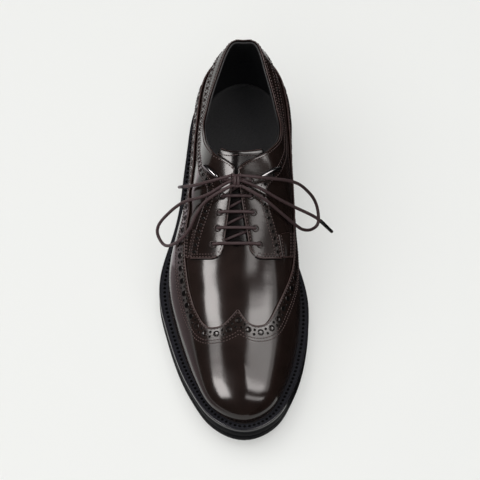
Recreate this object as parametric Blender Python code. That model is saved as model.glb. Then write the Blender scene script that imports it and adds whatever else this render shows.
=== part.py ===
"""Brogue derby, a right shoe standing empty on its sole.

Toe towards -Y, inner (medial) side towards +X, +Z up. The origin is under the middle of the
outsole, on the floor. Tables are in millimetres, measured from the back of the outsole along the
foot and from a straight line through the middle of the heel; the meshes are in metres.
"""

import math
from collections import namedtuple

import bmesh
import bpy
import numpy as np
from mathutils import Vector

MM = 0.001

# Driving dimensions, in millimetres
WALL = 2.0            # upper leather with its lining
OVERLAY = 1.1         # leather laid on the upper
CLEARANCE = 0.3       # between pieces that meet
LAID_ON = 0.5         # between the upper and the leather laid on it
WELT_THICK = 4.0
INSOLE_RISE = 1.5     # sock above the feather line
TONGUE_THICK = 2.2
LACE_RADIUS = 1.2
EYELET_RADIUS = 2.35  # middle of the eyelet's rolled rim
EYELET_ROLL = 0.65    # radius of that rim
KEEPER_LENGTH = 20.0
KEEPER_RADIUS = 2.0
KEEPER_TOP = 127.0    # place of its middle along the ridge
KEEPER_HALF = 18.5    # and its distance from the ridge
HEEL_BREAST = 80.0    # front face of the heel, from the back of the sole
HEEL_TAPER = 1.5      # the heel block narrows this much towards the floor

# One rib of the upper per row, from the middle of the heel to the tip of the toe. A rib starts on
# the feather line, where upper and welt meet, and ends on the top line or on the ridge of the vamp.
#   foot       place along the foot, and lateral and medial distance from the middle line
#   welt       how far the welt stands out from the feather line, lateral and medial
#   top        place along the foot, middle, half width and height of the rib's upper end
#   turn       degrees that the rib bends inwards on its way up
#   bulge      how far the wall stands out beyond the feather line, lateral and medial
#   band       share of the rib where the collar and facing band starts
Rib = namedtuple("Rib", "foot lateral medial welt_lat welt_med top middle half height turn "
                        "bulge_lat bulge_med band")
RIBS = (
    Rib(5.5, 0.0, 0.0, 5.5, 5.5, 8.4, 0.0, 0.0, 96.0, 26, 4.4, 4.4, 0.72),
    Rib(12.5, 19.6, 18.8, 5.5, 5.5, 9.6, 0.2, 8.8, 95.4, 28, 4.0, 4.0, 0.72),
    Rib(31.0, 31.8, 29.8, 5.5, 5.5, 27.0, -0.6, 16.2, 89.4, 30, 3.2, 3.8, 0.75),
    Rib(58.0, 36.2, 30.6, 5.5, 5.0, 55.0, -1.2, 24.2, 83.0, 32, 2.8, 5.0, 0.78),
    Rib(86.0, 39.2, 28.6, 5.6, 4.2, 76.0, -1.0, 27.8, 84.0, 36, 2.6, 6.4, 0.79),
    Rib(112.0, 42.0, 28.0, 6.0, 4.0, 94.0, -0.9, 26.6, 94.0, 48, 2.6, 8.0, 0.78),
    Rib(136.0, 46.6, 31.4, 6.4, 4.2, 114.0, -2.2, 18.8, 106.0, 64, 2.6, 7.8, 0.75),
    Rib(160.0, 52.4, 36.4, 7.4, 5.8, 130.0, -4.1, 0.0, 105.0, 76, 2.4, 6.4, 0.73),
    Rib(184.0, 53.8, 39.8, 8.0, 7.8, 153.0, -4.1, 0.0, 92.2, 71, 2.2, 3.8, 0.59),
    Rib(208.0, 49.6, 40.2, 8.0, 8.0, 179.0, -4.1, 0.0, 76.8, 71, 2.2, 2.4, 0.50),
    Rib(232.0, 43.4, 37.6, 8.0, 8.0, 202.0, -4.3, 0.0, 65.2, 68.5, 2.2, 2.0, 0.50),
    Rib(254.0, 36.0, 32.8, 8.0, 8.0, 222.0, -4.0, 0.0, 57.6, 67, 2.2, 2.0, 0.50),
    Rib(273.0, 27.2, 26.0, 8.0, 8.0, 240.0, -2.8, 0.0, 52.4, 69, 2.0, 2.0, 0.50),
    Rib(288.0, 17.0, 17.6, 8.0, 8.0, 253.0, -1.2, 0.0, 49.6, 73, 1.8, 1.8, 0.50),
    Rib(297.0, -0.6, 0.6, 8.0, 8.0, 259.0, 0.2, 0.0, 48.8, 77, 1.8, 1.8, 0.50),
)
LAST_RIB = len(RIBS) - 1
LOOP = 2 * LAST_RIB

# Heights along the foot: the feather line and the underside of the outsole
Level = namedtuple("Level", "along feather under")
LEVELS = (
    Level(-5.0, 33.2, 19.2),
    Level(40.0, 32.4, 18.4),
    Level(80.0, 29.2, 15.2),
    Level(110.0, 23.4, 9.2),
    Level(136.0, 18.4, 3.2),
    Level(156.0, 16.3, 0.0),
    Level(214.0, 16.3, 0.0),
    Level(236.0, 17.4, 1.2),
    Level(260.0, 19.8, 3.8),
    Level(284.0, 22.6, 7.0),
    Level(312.0, 26.2, 11.0),
)

# Opening between the facings, half its width at places along the ridge
Gap = namedtuple("Gap", "top half")
GAPS = (
    Gap(118.0, 0.0),
    Gap(129.0, 0.7),
    Gap(146.0, 3.5),
    Gap(156.0, 5.2),
    Gap(170.0, 8.0),
    Gap(180.0, 9.6),
)
THROAT_ROUND = 180.0  # from here the opening closes in a half ellipse
THROAT_END = 188.0    # front end of the opening

# Upper edge of the wing cap, share of the rib by rib number
Edge = namedtuple("Edge", "rib share")
WING_LATERAL = (
    Edge(0.0, 0.52), Edge(2.0, 0.57), Edge(3.0, 0.61), Edge(4.0, 0.61), Edge(5.0, 0.585),
    Edge(6.0, 0.55), Edge(7.0, 0.52), Edge(8.0, 0.505), Edge(9.0, 0.50), Edge(9.6, 0.525),
    Edge(10.1, 0.565), Edge(10.5, 0.625), Edge(10.75, 0.69), Edge(10.84, 0.76), Edge(10.9, 0.88),
    Edge(10.94, 1.0),
)
WING_MEDIAL = (
    Edge(0.0, 0.52), Edge(2.0, 0.56), Edge(3.0, 0.57), Edge(4.0, 0.52), Edge(5.0, 0.44),
    Edge(6.0, 0.37), Edge(7.0, 0.35), Edge(8.0, 0.39), Edge(8.6, 0.44), Edge(9.0, 0.49),
    Edge(9.75, 0.58), Edge(10.4, 0.67), Edge(10.75, 0.76), Edge(10.84, 0.84), Edge(10.9, 0.93),
    Edge(10.94, 1.0),
)
WING_START = 0.02     # the wing's lower edge, share of the rib

# Facing and backstay
BACKSTAY_HALF = 0.48   # rib where the strip over the back seam ends
FACING_BACK = 0.56     # rib where the collar band starts beside it
FACING_CUT = 116.4     # the facing's straight front edge lies in one plane, this far from the heel
FACING_LEAN = math.radians(57)   # that plane leans back from the floor
FACING_ROUND = 9.0     # round corner between the front edge and the opening
FACING_TIP = 0.05      # share of the rib left at the rounded tip
EDGE_MARGIN = 0.006    # share of the rib that overlays stay back from the edges

# Section of the welt, going round it: measured from the feather line (0) or from the welt's rim (1),
# how far out from there, and the height over the feather line
WeltPoint = namedtuple("WeltPoint", "rim out rise")
WELT_SECTION = (
    WeltPoint(0, CLEARANCE - WALL, -WELT_THICK),
    WeltPoint(1, 0.0, -WELT_THICK),
    WeltPoint(1, 0.0, -1.3),
    WeltPoint(1, -1.1, -0.2),
    WeltPoint(1, -3.2, -0.5),
    WeltPoint(0, CLEARANCE - WALL, 0.0),
)

# Side of the outsole from its top to its tread: share of the height, and inset
SideStep = namedtuple("SideStep", "share inset")
SOLE_SIDE = (
    SideStep(0.0, 0.9), SideStep(0.12, 0.5), SideStep(0.42, 0.4), SideStep(0.46, 0.8),
    SideStep(0.54, 0.8), SideStep(0.58, 0.3), SideStep(0.9, 0.2), SideStep(1.0, 1.2),
)
HEEL_SIDE = (
    SideStep(0.0, 0.8), SideStep(0.08, 0.4), SideStep(0.5, 0.7), SideStep(0.54, 1.1),
    SideStep(0.6, 0.7), SideStep(1.0, HEEL_TAPER),
)

# Tongue by place along the ridge: depth of its face under the outer face, and half width
TongueRow = namedtuple("TongueRow", "along depth half")
TONGUE = (
    TongueRow(206.0, 2.4, 14.0),
    TongueRow(197.0, 2.6, 16.0),
    TongueRow(186.0, 4.2, 17.0),
    TongueRow(168.0, 5.0, 18.0),
    TongueRow(150.0, 5.2, 18.5),
    TongueRow(132.0, 5.6, 18.5),
    TongueRow(122.0, 5.6, 18.0),
    TongueRow(117.0, 5.6, 16.5),
    TongueRow(115.0, 5.6, 12.0),
)
TONGUE_FREE = 133.0   # above this the tongue runs on straight

# Eyelets: place along the ridge and half the distance between the two of a pair
EyeletRow = namedtuple("EyeletRow", "top half")
EYELETS = (
    EyeletRow(176.0, 17.2),
    EyeletRow(166.0, 15.0),
    EyeletRow(156.0, 13.4),
    EyeletRow(146.0, 11.4),
    EyeletRow(136.0, 9.4),
)

# Colours of the materials, linear
LEATHER = (0.016, 0.011, 0.010, 1.0)
RUBBER = (0.008, 0.008, 0.010, 1.0)
LINING = (0.020, 0.020, 0.022, 1.0)
GUNMETAL = (0.17, 0.16, 0.17, 1.0)
WAXED_LACE = (0.060, 0.035, 0.037, 1.0)


def monotone(table_x, table_y, x):
    """Cubic curve through a table that never overshoots it."""
    tx = np.asarray(table_x, float)
    ty = np.asarray(table_y, float)
    step = np.diff(tx)
    slope = np.diff(ty) / step
    tangent = np.zeros_like(ty)
    for i in range(1, len(tx) - 1):
        if slope[i - 1] * slope[i] > 0:
            w1 = 2 * step[i] + step[i - 1]
            w2 = step[i] + 2 * step[i - 1]
            tangent[i] = (w1 + w2) / (w1 / slope[i - 1] + w2 / slope[i])
    tangent[0] = slope[0]
    tangent[-1] = slope[-1]
    i = min(max(int(np.searchsorted(tx, x)) - 1, 0), len(step) - 1)
    s = min(max((x - tx[i]) / step[i], 0.0), 1.0)
    h = step[i]
    return float((1 + 2 * s) * (1 - s) ** 2 * ty[i] + s * (1 - s) ** 2 * h * tangent[i]
                 + s * s * (3 - 2 * s) * ty[i + 1] + s * s * (s - 1) * h * tangent[i + 1])


class Ring:
    """Smooth closed curve through one value per rib, lateral side first, then medial."""

    def __init__(self, lateral, medial):
        self.values = np.array(list(lateral) + list(medial)[LAST_RIB - 1:0:-1], float)
        n = len(self.values)
        matrix = 4 * np.eye(n) + np.roll(np.eye(n), 1, 0) + np.roll(np.eye(n), -1, 0)
        second = 6 * (np.roll(self.values, -1) - 2 * self.values + np.roll(self.values, 1))
        self.bend = np.linalg.solve(matrix, second)

    def __call__(self, loop):
        n = len(self.values)
        i = int(math.floor(loop)) % n
        b = loop - math.floor(loop)
        a = 1 - b
        j = (i + 1) % n
        return float(a * self.values[i] + b * self.values[j]
                     + ((a ** 3 - a) * self.bend[i] + (b ** 3 - b) * self.bend[j]) / 6)


def column(name):
    return [getattr(rib, name) for rib in RIBS]


FOOT_ALONG = Ring(column("foot"), column("foot"))
FOOT_X = Ring([-x for x in column("lateral")], column("medial"))
WELT_OUT = Ring(column("welt_lat"), column("welt_med"))
TOP_ALONG = Ring(column("top"), column("top"))
TOP_MIDDLE = Ring(column("middle"), column("middle"))
TOP_HEIGHT = Ring(column("height"), column("height"))
TURN = Ring(column("turn"), column("turn"))
BULGE = Ring(column("bulge_lat"), column("bulge_med"))
RIB_NUMBERS = list(range(len(RIBS)))


def rib_number(loop):
    """Rib number, 0 at the heel to the last at the toe, and side, -1 lateral or 1 medial."""
    loop = loop % LOOP
    if loop <= LAST_RIB:
        return loop, -1
    return LOOP - loop, 1


def feather(along):
    return monotone([r.along for r in LEVELS], [r.feather for r in LEVELS], along)


def under(along):
    return monotone([r.along for r in LEVELS], [r.under for r in LEVELS], along)


def foot_point(loop, out=0.0):
    """Point of the feather line, moved outwards in plan, as x and place along the foot."""
    step = 0.02
    dx = FOOT_X(loop + step) - FOOT_X(loop - step)
    da = FOOT_ALONG(loop + step) - FOOT_ALONG(loop - step)
    size = math.hypot(dx, da)
    normal = (-da / size, dx / size)
    return FOOT_X(loop) + out * normal[0], FOOT_ALONG(loop) + out * normal[1]


def sole_point(loop, inset=0.0):
    return foot_point(loop, WELT_OUT(loop) - inset)


def form_point(loop, share):
    """Outer face of the upper: x, place along the foot and height at a share of a rib."""
    number, side = rib_number(loop)
    foot_x, foot_along = foot_point(loop)
    foot_z = feather(foot_along) + CLEARANCE
    half = monotone(RIB_NUMBERS, column("half"), number)
    top_x = TOP_MIDDLE(loop) + side * half
    turn = math.radians(TURN(loop))
    angle = share * turn
    inwards = (1 - math.cos(angle)) / (1 - math.cos(turn))
    upwards = math.sin(angle) / math.sin(turn)
    out_x, out_along = foot_point(loop, BULGE(loop) * math.sin(math.pi * share) * (1.25 - 0.5 * share))
    x = foot_x + (top_x - foot_x) * inwards + out_x - foot_x
    along = foot_along + (TOP_ALONG(loop) - foot_along) * inwards + out_along - foot_along
    z = foot_z + (TOP_HEIGHT(loop) - foot_z) * upwards
    return np.array((x, along, z))


def form_normal(loop, share):
    """Outward direction of the upper, the mean of both sides on the ridge."""
    step = 0.01
    low = min(max(share, step), 1 - step)
    across = form_point(loop + step, low) - form_point(loop - step, low)
    upwards = form_point(loop, low + step) - form_point(loop, low - step)
    normal = np.cross(upwards, across)
    normal = normal / np.linalg.norm(normal)
    number, _ = rib_number(loop)
    mirror = LOOP - loop
    if share > 0.995 and number > slit_end_rib() - 0.01 and 0 < number < LAST_RIB:
        across = form_point(mirror + step, low) - form_point(mirror - step, low)
        upwards = form_point(mirror, low + step) - form_point(mirror, low - step)
        other = np.cross(upwards, across)
        normal = normal + other / np.linalg.norm(other)
        normal = normal / np.linalg.norm(normal)
    return normal


def form(loop, share, offset=0.0):
    point = form_point(loop, share)
    if offset:
        point = point + offset * form_normal(loop, share)
    return point


def rib_at_top(top):
    """Rib number whose upper end lies at a place along the ridge."""
    low, high = 5.0, float(LAST_RIB)
    for _ in range(40):
        middle = (low + high) / 2
        if TOP_ALONG(middle) < top:
            low = middle
        else:
            high = middle
    return (low + high) / 2


SLIT_END = []


def slit_end_rib():
    if not SLIT_END:
        SLIT_END.append(rib_at_top(THROAT_END))
    return SLIT_END[0]


def half_gap(top):
    if top >= THROAT_END:
        return 0.0
    if top > THROAT_ROUND:
        reach = (top - THROAT_ROUND) / (THROAT_END - THROAT_ROUND)
        return GAPS[-1].half * math.sqrt(1 - reach * reach)
    return monotone([g.top for g in GAPS], [g.half for g in GAPS], top)


def share_at_gap(loop, gap):
    """Share of a rib that ends a given distance from the middle of the opening."""
    number, _ = rib_number(loop)
    run = abs(TOP_MIDDLE(loop) - FOOT_X(loop))
    half = monotone(RIB_NUMBERS, column("half"), number)
    turn = math.radians(TURN(loop))
    inwards = min((run - gap) / (run - half), 1.0)
    return math.acos(1 - inwards * (1 - math.cos(turn))) / turn


def upper_edge(loop):
    """Share of the rib at the top line or at the edge of the facing."""
    number, _ = rib_number(loop)
    if number < 5.0 or number >= slit_end_rib():
        return 1.0
    return share_at_gap(loop, half_gap(TOP_ALONG(loop)))


def wing_edge(loop):
    """Share of the rib at the upper edge of the wing cap."""
    number, side = rib_number(loop)
    edge = WING_LATERAL if side < 0 else WING_MEDIAL
    return monotone([e.rib for e in edge], [e.share for e in edge], number)


def front_reach(loop, share):
    """How far a point lies in front of the facing's front edge."""
    x, along, z = form_point(loop, share)
    beside = abs(x - TOP_MIDDLE(loop)) - GAPS[-1].half
    t = min(max(1 - beside / FACING_ROUND, 0.0), 1.0)
    cut = FACING_CUT - FACING_ROUND * (1 - math.sqrt(1 - t * t))
    return along * math.sin(FACING_LEAN) - z * math.cos(FACING_LEAN) - cut


def facing_low(loop):
    """Lower edge of the facing: the band's edge, then the front edge."""
    number, _ = rib_number(loop)
    low = monotone(RIB_NUMBERS, column("band"), number)
    low = max(low, wing_edge(loop) + 2 * EDGE_MARGIN)
    high = upper_edge(loop)
    if front_reach(loop, low) <= 0:
        return low
    for _ in range(30):
        middle = (low + high) / 2
        if front_reach(loop, middle) > 0:
            low = middle
        else:
            high = middle
    return (low + high) / 2


def facing_front_rib(side):
    """Rib on which the facing's front edge meets the opening."""
    low, high = 8.0, slit_end_rib()
    for _ in range(30):
        middle = (low + high) / 2
        loop = middle if side < 0 else LOOP - middle
        if front_reach(loop, upper_edge(loop) - FACING_TIP) < 0:
            low = middle
        else:
            high = middle
    return low


FACING_FRONT = facing_front_rib(-1)


def outline_middle():
    """Middle of the outsole's box in plan."""
    points = [sole_point(LOOP * i / 720) for i in range(720)]
    xs = [p[0] for p in points]
    alongs = [p[1] for p in points]
    return (min(xs) + max(xs)) / 2, (min(alongs) + max(alongs)) / 2


MIDDLE_X, MIDDLE_ALONG = outline_middle()


def place(x, along, z):
    """Millimetres in the shoe's tables to metres in the part's frame."""
    return Vector(((x - MIDDLE_X) * MM, (MIDDLE_ALONG - along) * MM, z * MM))


def principled(name, colour, roughness, metallic=0.0):
    material = bpy.data.materials.new(name)
    material.use_nodes = True
    shader = material.node_tree.nodes["Principled BSDF"]
    shader.inputs["Base Color"].default_value = colour
    shader.inputs["Roughness"].default_value = roughness
    shader.inputs["Metallic"].default_value = metallic
    return material


def add_object(name, data, material):
    piece = bpy.data.objects.new(name, data)
    data.materials.append(material)
    bpy.context.scene.collection.objects.link(piece)
    return piece


def finish_mesh(name, bm, material, smooth_angle=40):
    mesh = bpy.data.meshes.new(name)
    bm.to_mesh(mesh)
    bm.free()
    mesh.shade_smooth()
    mesh.set_sharp_from_angle(angle=math.radians(smooth_angle))
    return add_object(name, mesh, material)


def leather_sheet(name, material, counts, spot, thickness, outwards):
    """Grid laid on the form by a function, then given its thickness outwards or inwards."""
    bm = bmesh.new()
    bmesh.ops.create_grid(bm, x_segments=counts[0], y_segments=counts[1], size=0.5)
    for vert in bm.verts:
        vert.co = spot(vert.co.x + 0.5, vert.co.y + 0.5)
    bmesh.ops.remove_doubles(bm, verts=bm.verts, dist=0.00003)
    bmesh.ops.dissolve_degenerate(bm, edges=bm.edges, dist=0.00003)
    piece = finish_mesh(name, bm, material)
    wall = piece.modifiers.new("Wall", "SOLIDIFY")
    wall.thickness = thickness * MM
    wall.offset = 1.0 if outwards else -1.0
    return piece


# Ribs that the leather pieces are cut on, so that their facets lie over each other
Stretch = namedtuple("Stretch", "first last steps")
STRETCHES = (
    Stretch(0.0, BACKSTAY_HALF, 1),
    Stretch(BACKSTAY_HALF, FACING_BACK, 1),
    Stretch(FACING_BACK, 2.0, 3),
    Stretch(2.0, 7.0, 7),
    Stretch(7.0, 7.8, 2),
    Stretch(7.8, FACING_FRONT, 5),
    Stretch(FACING_FRONT, slit_end_rib(), 1),
    Stretch(slit_end_rib(), 10.1, 1),
    Stretch(10.1, 10.5, 1),
    Stretch(10.5, 10.84, 2),
    Stretch(10.84, WING_LATERAL[-1].rib, 2),
    Stretch(WING_LATERAL[-1].rib, LAST_RIB, 6),
)


def rib_samples(first, last):
    """Rib numbers of the stretches between two ribs."""
    numbers = []
    for stretch in STRETCHES:
        for i in range(stretch.steps):
            numbers.append(stretch.first + (stretch.last - stretch.first) * i / stretch.steps)
    numbers.append(LAST_RIB)
    return [n for n in numbers if first - 1e-6 <= n <= last + 1e-6]


def whole_loop():
    numbers = rib_samples(0, LAST_RIB)
    return numbers + [LOOP - n for n in reversed(numbers[:-1])]


RIB_STEPS = 10


def build_upper(material):
    loops = whole_loop()
    segments = len(loops) - 1

    def spot(u, v):
        loop = loops[round(u * segments)]
        return place(*form(loop, v * upper_edge(loop)))

    return leather_sheet("upper", material, (segments, RIB_STEPS), spot, WALL, False)


def build_wing(material):
    loops = whole_loop()
    segments = len(loops) - 1

    def spot(u, v):
        loop = loops[round(u * segments)]
        return place(*form(loop, min(max(v, WING_START), wing_edge(loop)), LAID_ON))

    return leather_sheet("wing", material, (segments, RIB_STEPS), spot, OVERLAY, True)


def build_facing(name, side, material):
    numbers = rib_samples(FACING_BACK, FACING_FRONT)
    loops = numbers if side < 0 else [LOOP - n for n in reversed(numbers)]
    segments = len(loops) - 1

    def spot(u, v):
        loop = loops[round(u * segments)]
        low = facing_low(loop)
        high = upper_edge(loop) - EDGE_MARGIN
        return place(*form(loop, low + v * (high - low), LAID_ON))

    return leather_sheet(name, material, (segments, 5), spot, OVERLAY, True)


def build_backstay(material):
    numbers = rib_samples(0, BACKSTAY_HALF)
    loops = [-n for n in reversed(numbers[1:])] + numbers
    segments = len(loops) - 1

    def spot(u, v):
        loop = loops[round(u * segments)]
        low = wing_edge(loop) + EDGE_MARGIN
        return place(*form(loop, low + v * (1 - EDGE_MARGIN - low), LAID_ON))

    return leather_sheet("backstay", material, (segments, 6), spot, OVERLAY, True)


def build_tongue(material):
    rows = [t.along for t in reversed(TONGUE)]

    def read(name, along):
        return monotone(rows, [getattr(t, name) for t in reversed(TONGUE)], along)

    def under_facing(along, sideways):
        side = -1 if sideways < 0 else 1
        return facing_spot(along, side, abs(sideways), -read("depth", along))[0]

    def spot(u, v):
        along = TONGUE[0].along + v * (TONGUE[-1].along - TONGUE[0].along)
        sideways = (2 * u - 1) * read("half", along)
        if along >= TONGUE_FREE:
            return place(*under_facing(along, sideways))
        run_on = (under_facing(TONGUE_FREE, 0.0) - under_facing(TONGUE_FREE + 4, 0.0)) / 4
        return place(*(under_facing(TONGUE_FREE, sideways) + run_on * (TONGUE_FREE - along)))

    return leather_sheet("tongue", material, (10, 15), spot, TONGUE_THICK, False)


def ladder_solid(name, material, rings, half_count, smooth_angle=40):
    """Closed solid from rings that go round the foot, top ring first, with laddered caps.

    Each ring runs heel to toe on the lateral side and back on the medial side.
    """
    bm = bmesh.new()
    rows = [[bm.verts.new(p) for p in ring] for ring in rings]
    count = len(rows[0])
    for upper_row, lower_row in zip(rows, rows[1:]):
        for i in range(count):
            j = (i + 1) % count
            bm.faces.new((upper_row[i], upper_row[j], lower_row[j], lower_row[i]))
    for row in (rows[0], rows[-1]):
        for i in range(half_count):
            corners = [row[i], row[i + 1], row[(count - i - 1) % count], row[(count - i) % count]]
            distinct = list(dict.fromkeys(corners))
            bm.faces.new(distinct)
    bmesh.ops.recalc_face_normals(bm, faces=bm.faces)
    return finish_mesh(name, bm, material, smooth_angle)


SOLE_STEPS = 30


def sole_loops():
    numbers = [LAST_RIB * i / SOLE_STEPS for i in range(SOLE_STEPS + 1)]
    return numbers + [LOOP - n for n in reversed(numbers[1:-1])]


def build_outsole(material):
    rings = []
    for share, inset in SOLE_SIDE:
        ring = []
        for loop in sole_loops():
            x, along = sole_point(loop, inset)
            top = feather(along) - WELT_THICK - CLEARANCE
            ring.append(place(x, along, top + share * (under(along) - top)))
        rings.append(ring)
    return ladder_solid("outsole", material, rings, SOLE_STEPS, 30)


def build_insole(material):
    inset = WALL + 2 * CLEARANCE
    rings = []
    for rise in (INSOLE_RISE, -WELT_THICK):
        ring = []
        for loop in sole_loops():
            x, along = foot_point(loop, -inset)
            ring.append(place(x, along, feather(along) + rise))
        rings.append(ring)
    return ladder_solid("insole", material, rings, SOLE_STEPS, 30)


def breast_rib(side):
    """Loop place where the outsole's edge passes the heel breast."""
    low, high = 2.0, 6.0
    for _ in range(40):
        middle = (low + high) / 2
        loop = middle if side < 0 else LOOP - middle
        if sole_point(loop)[1] < HEEL_BREAST:
            low = middle
        else:
            high = middle
    return low


def build_heel(material):
    steps = 14
    rings = []
    for share, inset in HEEL_SIDE:
        ring = []
        for side in (-1, 1):
            last = breast_rib(side)
            numbers = [last * i / steps for i in range(steps + 1)]
            if side > 0:
                numbers = list(reversed(numbers[1:]))
            for number in numbers:
                x, along = sole_point(number if side < 0 else LOOP - number, inset)
                top = under(along) - CLEARANCE
                ring.append(place(x, along, top * (1 - share)))
        rings.append(ring)
    return ladder_solid("heel", material, rings, steps, 30)


def build_welt(material):
    """Strip round the foot with a rounded rim and a shallow channel for its stitches."""
    bm = bmesh.new()
    loops = sole_loops()
    rows = []
    for corner in WELT_SECTION:
        row = []
        for loop in loops:
            x, along = foot_point(loop, corner.out + corner.rim * WELT_OUT(loop))
            row.append(bm.verts.new(place(x, along, feather(along) + corner.rise)))
        rows.append(row)
    count = len(loops)
    for first, second in zip(rows, rows[1:] + rows[:1]):
        for i in range(count):
            j = (i + 1) % count
            bm.faces.new((first[i], first[j], second[j], second[i]))
    bmesh.ops.recalc_face_normals(bm, faces=bm.faces)
    return finish_mesh("welt", bm, material, 30)


def cord_object(name, points, radius, material, cyclic=False, resolution=2):
    curve = bpy.data.curves.new(name, "CURVE")
    curve.dimensions = "3D"
    spline = curve.splines.new("POLY")
    spline.points.add(len(points) - 1)
    for target, point in zip(spline.points, points):
        target.co = (*point, 1.0)
    spline.use_cyclic_u = cyclic
    spline.use_smooth = True
    curve.bevel_depth = radius * MM
    curve.bevel_resolution = resolution
    curve.use_fill_caps = not cyclic
    return add_object(name, curve, material)


def smooth_route(points, spacing):
    """Evenly spaced points on one smooth curve through a route's own points."""
    p = [np.array(q, float) for q in points]
    p = [2 * p[0] - p[1]] + p + [2 * p[-1] - p[-2]]
    dense = []
    for a, b, c, d in zip(p, p[1:], p[2:], p[3:]):
        for i in range(24):
            t = i / 24
            dense.append(0.5 * (2 * b + (c - a) * t + (2 * a - 5 * b + 4 * c - d) * t * t
                                + (3 * b - a - 3 * c + d) * t ** 3))
    dense.append(p[-2])
    dense = np.array(dense)
    run = np.concatenate(([0], np.cumsum(np.linalg.norm(np.diff(dense, axis=0), axis=1))))
    count = max(int(round(run[-1] / spacing)), 2)
    marks = np.linspace(0, run[-1], count + 1)
    return [[float(np.interp(m, run, dense[:, k])) for k in range(3)] for m in marks]


def facing_spot(top, side, half, offset):
    """Point over the facing at a place along the ridge and a distance from it."""
    number = rib_at_top(top)
    for _ in range(12):
        loop = number if side < 0 else LOOP - number
        share = share_at_gap(loop, half)
        number += (top - form(loop, share)[1]) / 24.0
    loop = number if side < 0 else LOOP - number
    return form(loop, share_at_gap(loop, half), offset), form_normal(loop, share_at_gap(loop, half))


FACING_TOP = LAID_ON + OVERLAY


def build_eyelets(material):
    for i, row in enumerate(EYELETS, 1):
        for side, word in ((-1, "lateral"), (1, "medial")):
            seat = FACING_TOP + 2 * CLEARANCE + EYELET_ROLL
            centre, normal = facing_spot(row.top, side, row.half, seat)
            first = np.cross(normal, (0.0, 1.0, 0.0))
            first = first / np.linalg.norm(first)
            second = np.cross(normal, first)
            points = []
            for k in range(12):
                angle = 2 * math.pi * k / 12
                spoke = math.cos(angle) * first + math.sin(angle) * second
                points.append(place(*(centre + EYELET_RADIUS * spoke)))
            cord_object(f"eyelet_{word}_{i}", points, EYELET_ROLL, material, True, 0)


def build_lace_bars(material):
    over_eyelet = FACING_TOP + 4 * CLEARANCE + 2 * EYELET_ROLL + LACE_RADIUS
    for i, row in enumerate(EYELETS, 1):
        edge = half_gap(row.top) + LACE_RADIUS
        route = []
        for side, half in ((-1, row.half), (-1, edge), (1, edge), (1, row.half)):
            route.append(facing_spot(row.top, side, half, over_eyelet)[0])
        points = [place(*p) for p in smooth_route(route, 3.0)]
        cord_object(f"lace_bar_{i}", points, LACE_RADIUS, material)


def build_keepers(material):
    """Plain rounded bars on the facings, beside the top eyelets."""
    seat = FACING_TOP + 2 * CLEARANCE + KEEPER_RADIUS
    reach = (KEEPER_LENGTH / 2 - KEEPER_RADIUS) * math.sin(math.radians(45))
    for side, word in ((-1, "lateral"), (1, "medial")):
        points = []
        for share in (-1.0, -0.5, 0.0, 0.5, 1.0):
            spot = facing_spot(KEEPER_TOP - share * reach, side, KEEPER_HALF + share * reach, seat)
            points.append(place(*spot[0]))
        cord_object(f"keeper_{word}", points, KEEPER_RADIUS, material)


# Bow: x, place along the foot and height of the points that each cord passes
KNOT = ((-5.0, 137.2, 111.7), (-5.0, 141.5, 110.6), (-5.0, 146.0, 108.0))
KNOT_RADIUS = 3.0
LOOP_LATERAL = (
    (-8.6, 142.6, 111.2), (-14.5, 143.8, 107.5), (-27.7, 146.6, 97.5), (-45.6, 141.0, 78.5),
    (-59.3, 141.3, 58.0), (-63.8, 144.4, 47.0), (-61.0, 151.0, 42.0), (-55.8, 160.0, 50.0),
    (-47.0, 168.0, 69.5), (-40.0, 164.8, 79.5), (-35.4, 158.0, 87.5), (-29.0, 152.0, 95.5),
    (-19.0, 149.4, 105.0), (-8.6, 145.8, 109.4),
)
LOOP_MEDIAL = (
    (-1.4, 139.2, 112.8), (13.2, 139.1, 110.0), (36.8, 128.4, 88.0), (48.2, 124.3, 68.0),
    (54.2, 126.5, 54.0), (55.6, 136.0, 45.5), (51.0, 143.0, 46.5), (44.0, 149.5, 56.0),
    (37.0, 151.5, 67.5), (26.9, 152.0, 83.5), (14.5, 151.2, 100.8), (-1.4, 145.8, 109.2),
)
END_LATERAL = (
    (-8.6, 139.0, 112.6), (-22.6, 138.4, 105.0), (-36.0, 134.6, 93.0), (-47.3, 124.5, 75.0),
)
END_MEDIAL = (
    (-1.4, 142.5, 111.2), (11.5, 143.5, 103.0), (25.7, 144.0, 89.0), (37.6, 143.0, 76.5),
    (53.9, 142.5, 61.0), (65.3, 145.3, 47.0),
)


def build_bow(material):
    routes = {"lace_loop_lateral": LOOP_LATERAL, "lace_loop_medial": LOOP_MEDIAL,
              "lace_end_lateral": END_LATERAL, "lace_end_medial": END_MEDIAL}
    cord_object("lace_knot", [place(*p) for p in KNOT], KNOT_RADIUS, material)
    for name, route in routes.items():
        points = [place(*p) for p in smooth_route(route, 6.0)]
        cord_object(name, points, LACE_RADIUS, material)


def main():
    for piece in list(bpy.data.objects):
        bpy.data.objects.remove(piece, do_unlink=True)
    leather = principled("polished_leather", LEATHER, 0.25)
    rubber = principled("sole_rubber", RUBBER, 0.6)
    lining = principled("sock_lining", LINING, 0.8)
    metal = principled("gunmetal", GUNMETAL, 0.25, 1.0)
    lace = principled("waxed_lace", WAXED_LACE, 0.55)
    build_outsole(rubber)
    build_heel(rubber)
    build_welt(rubber)
    build_insole(lining)
    build_upper(leather)
    build_tongue(leather)
    build_wing(leather)
    build_facing("facing_lateral", -1, leather)
    build_facing("facing_medial", 1, leather)
    build_backstay(leather)
    build_eyelets(metal)
    build_keepers(metal)
    build_lace_bars(lace)
    build_bow(lace)


main()
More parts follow.
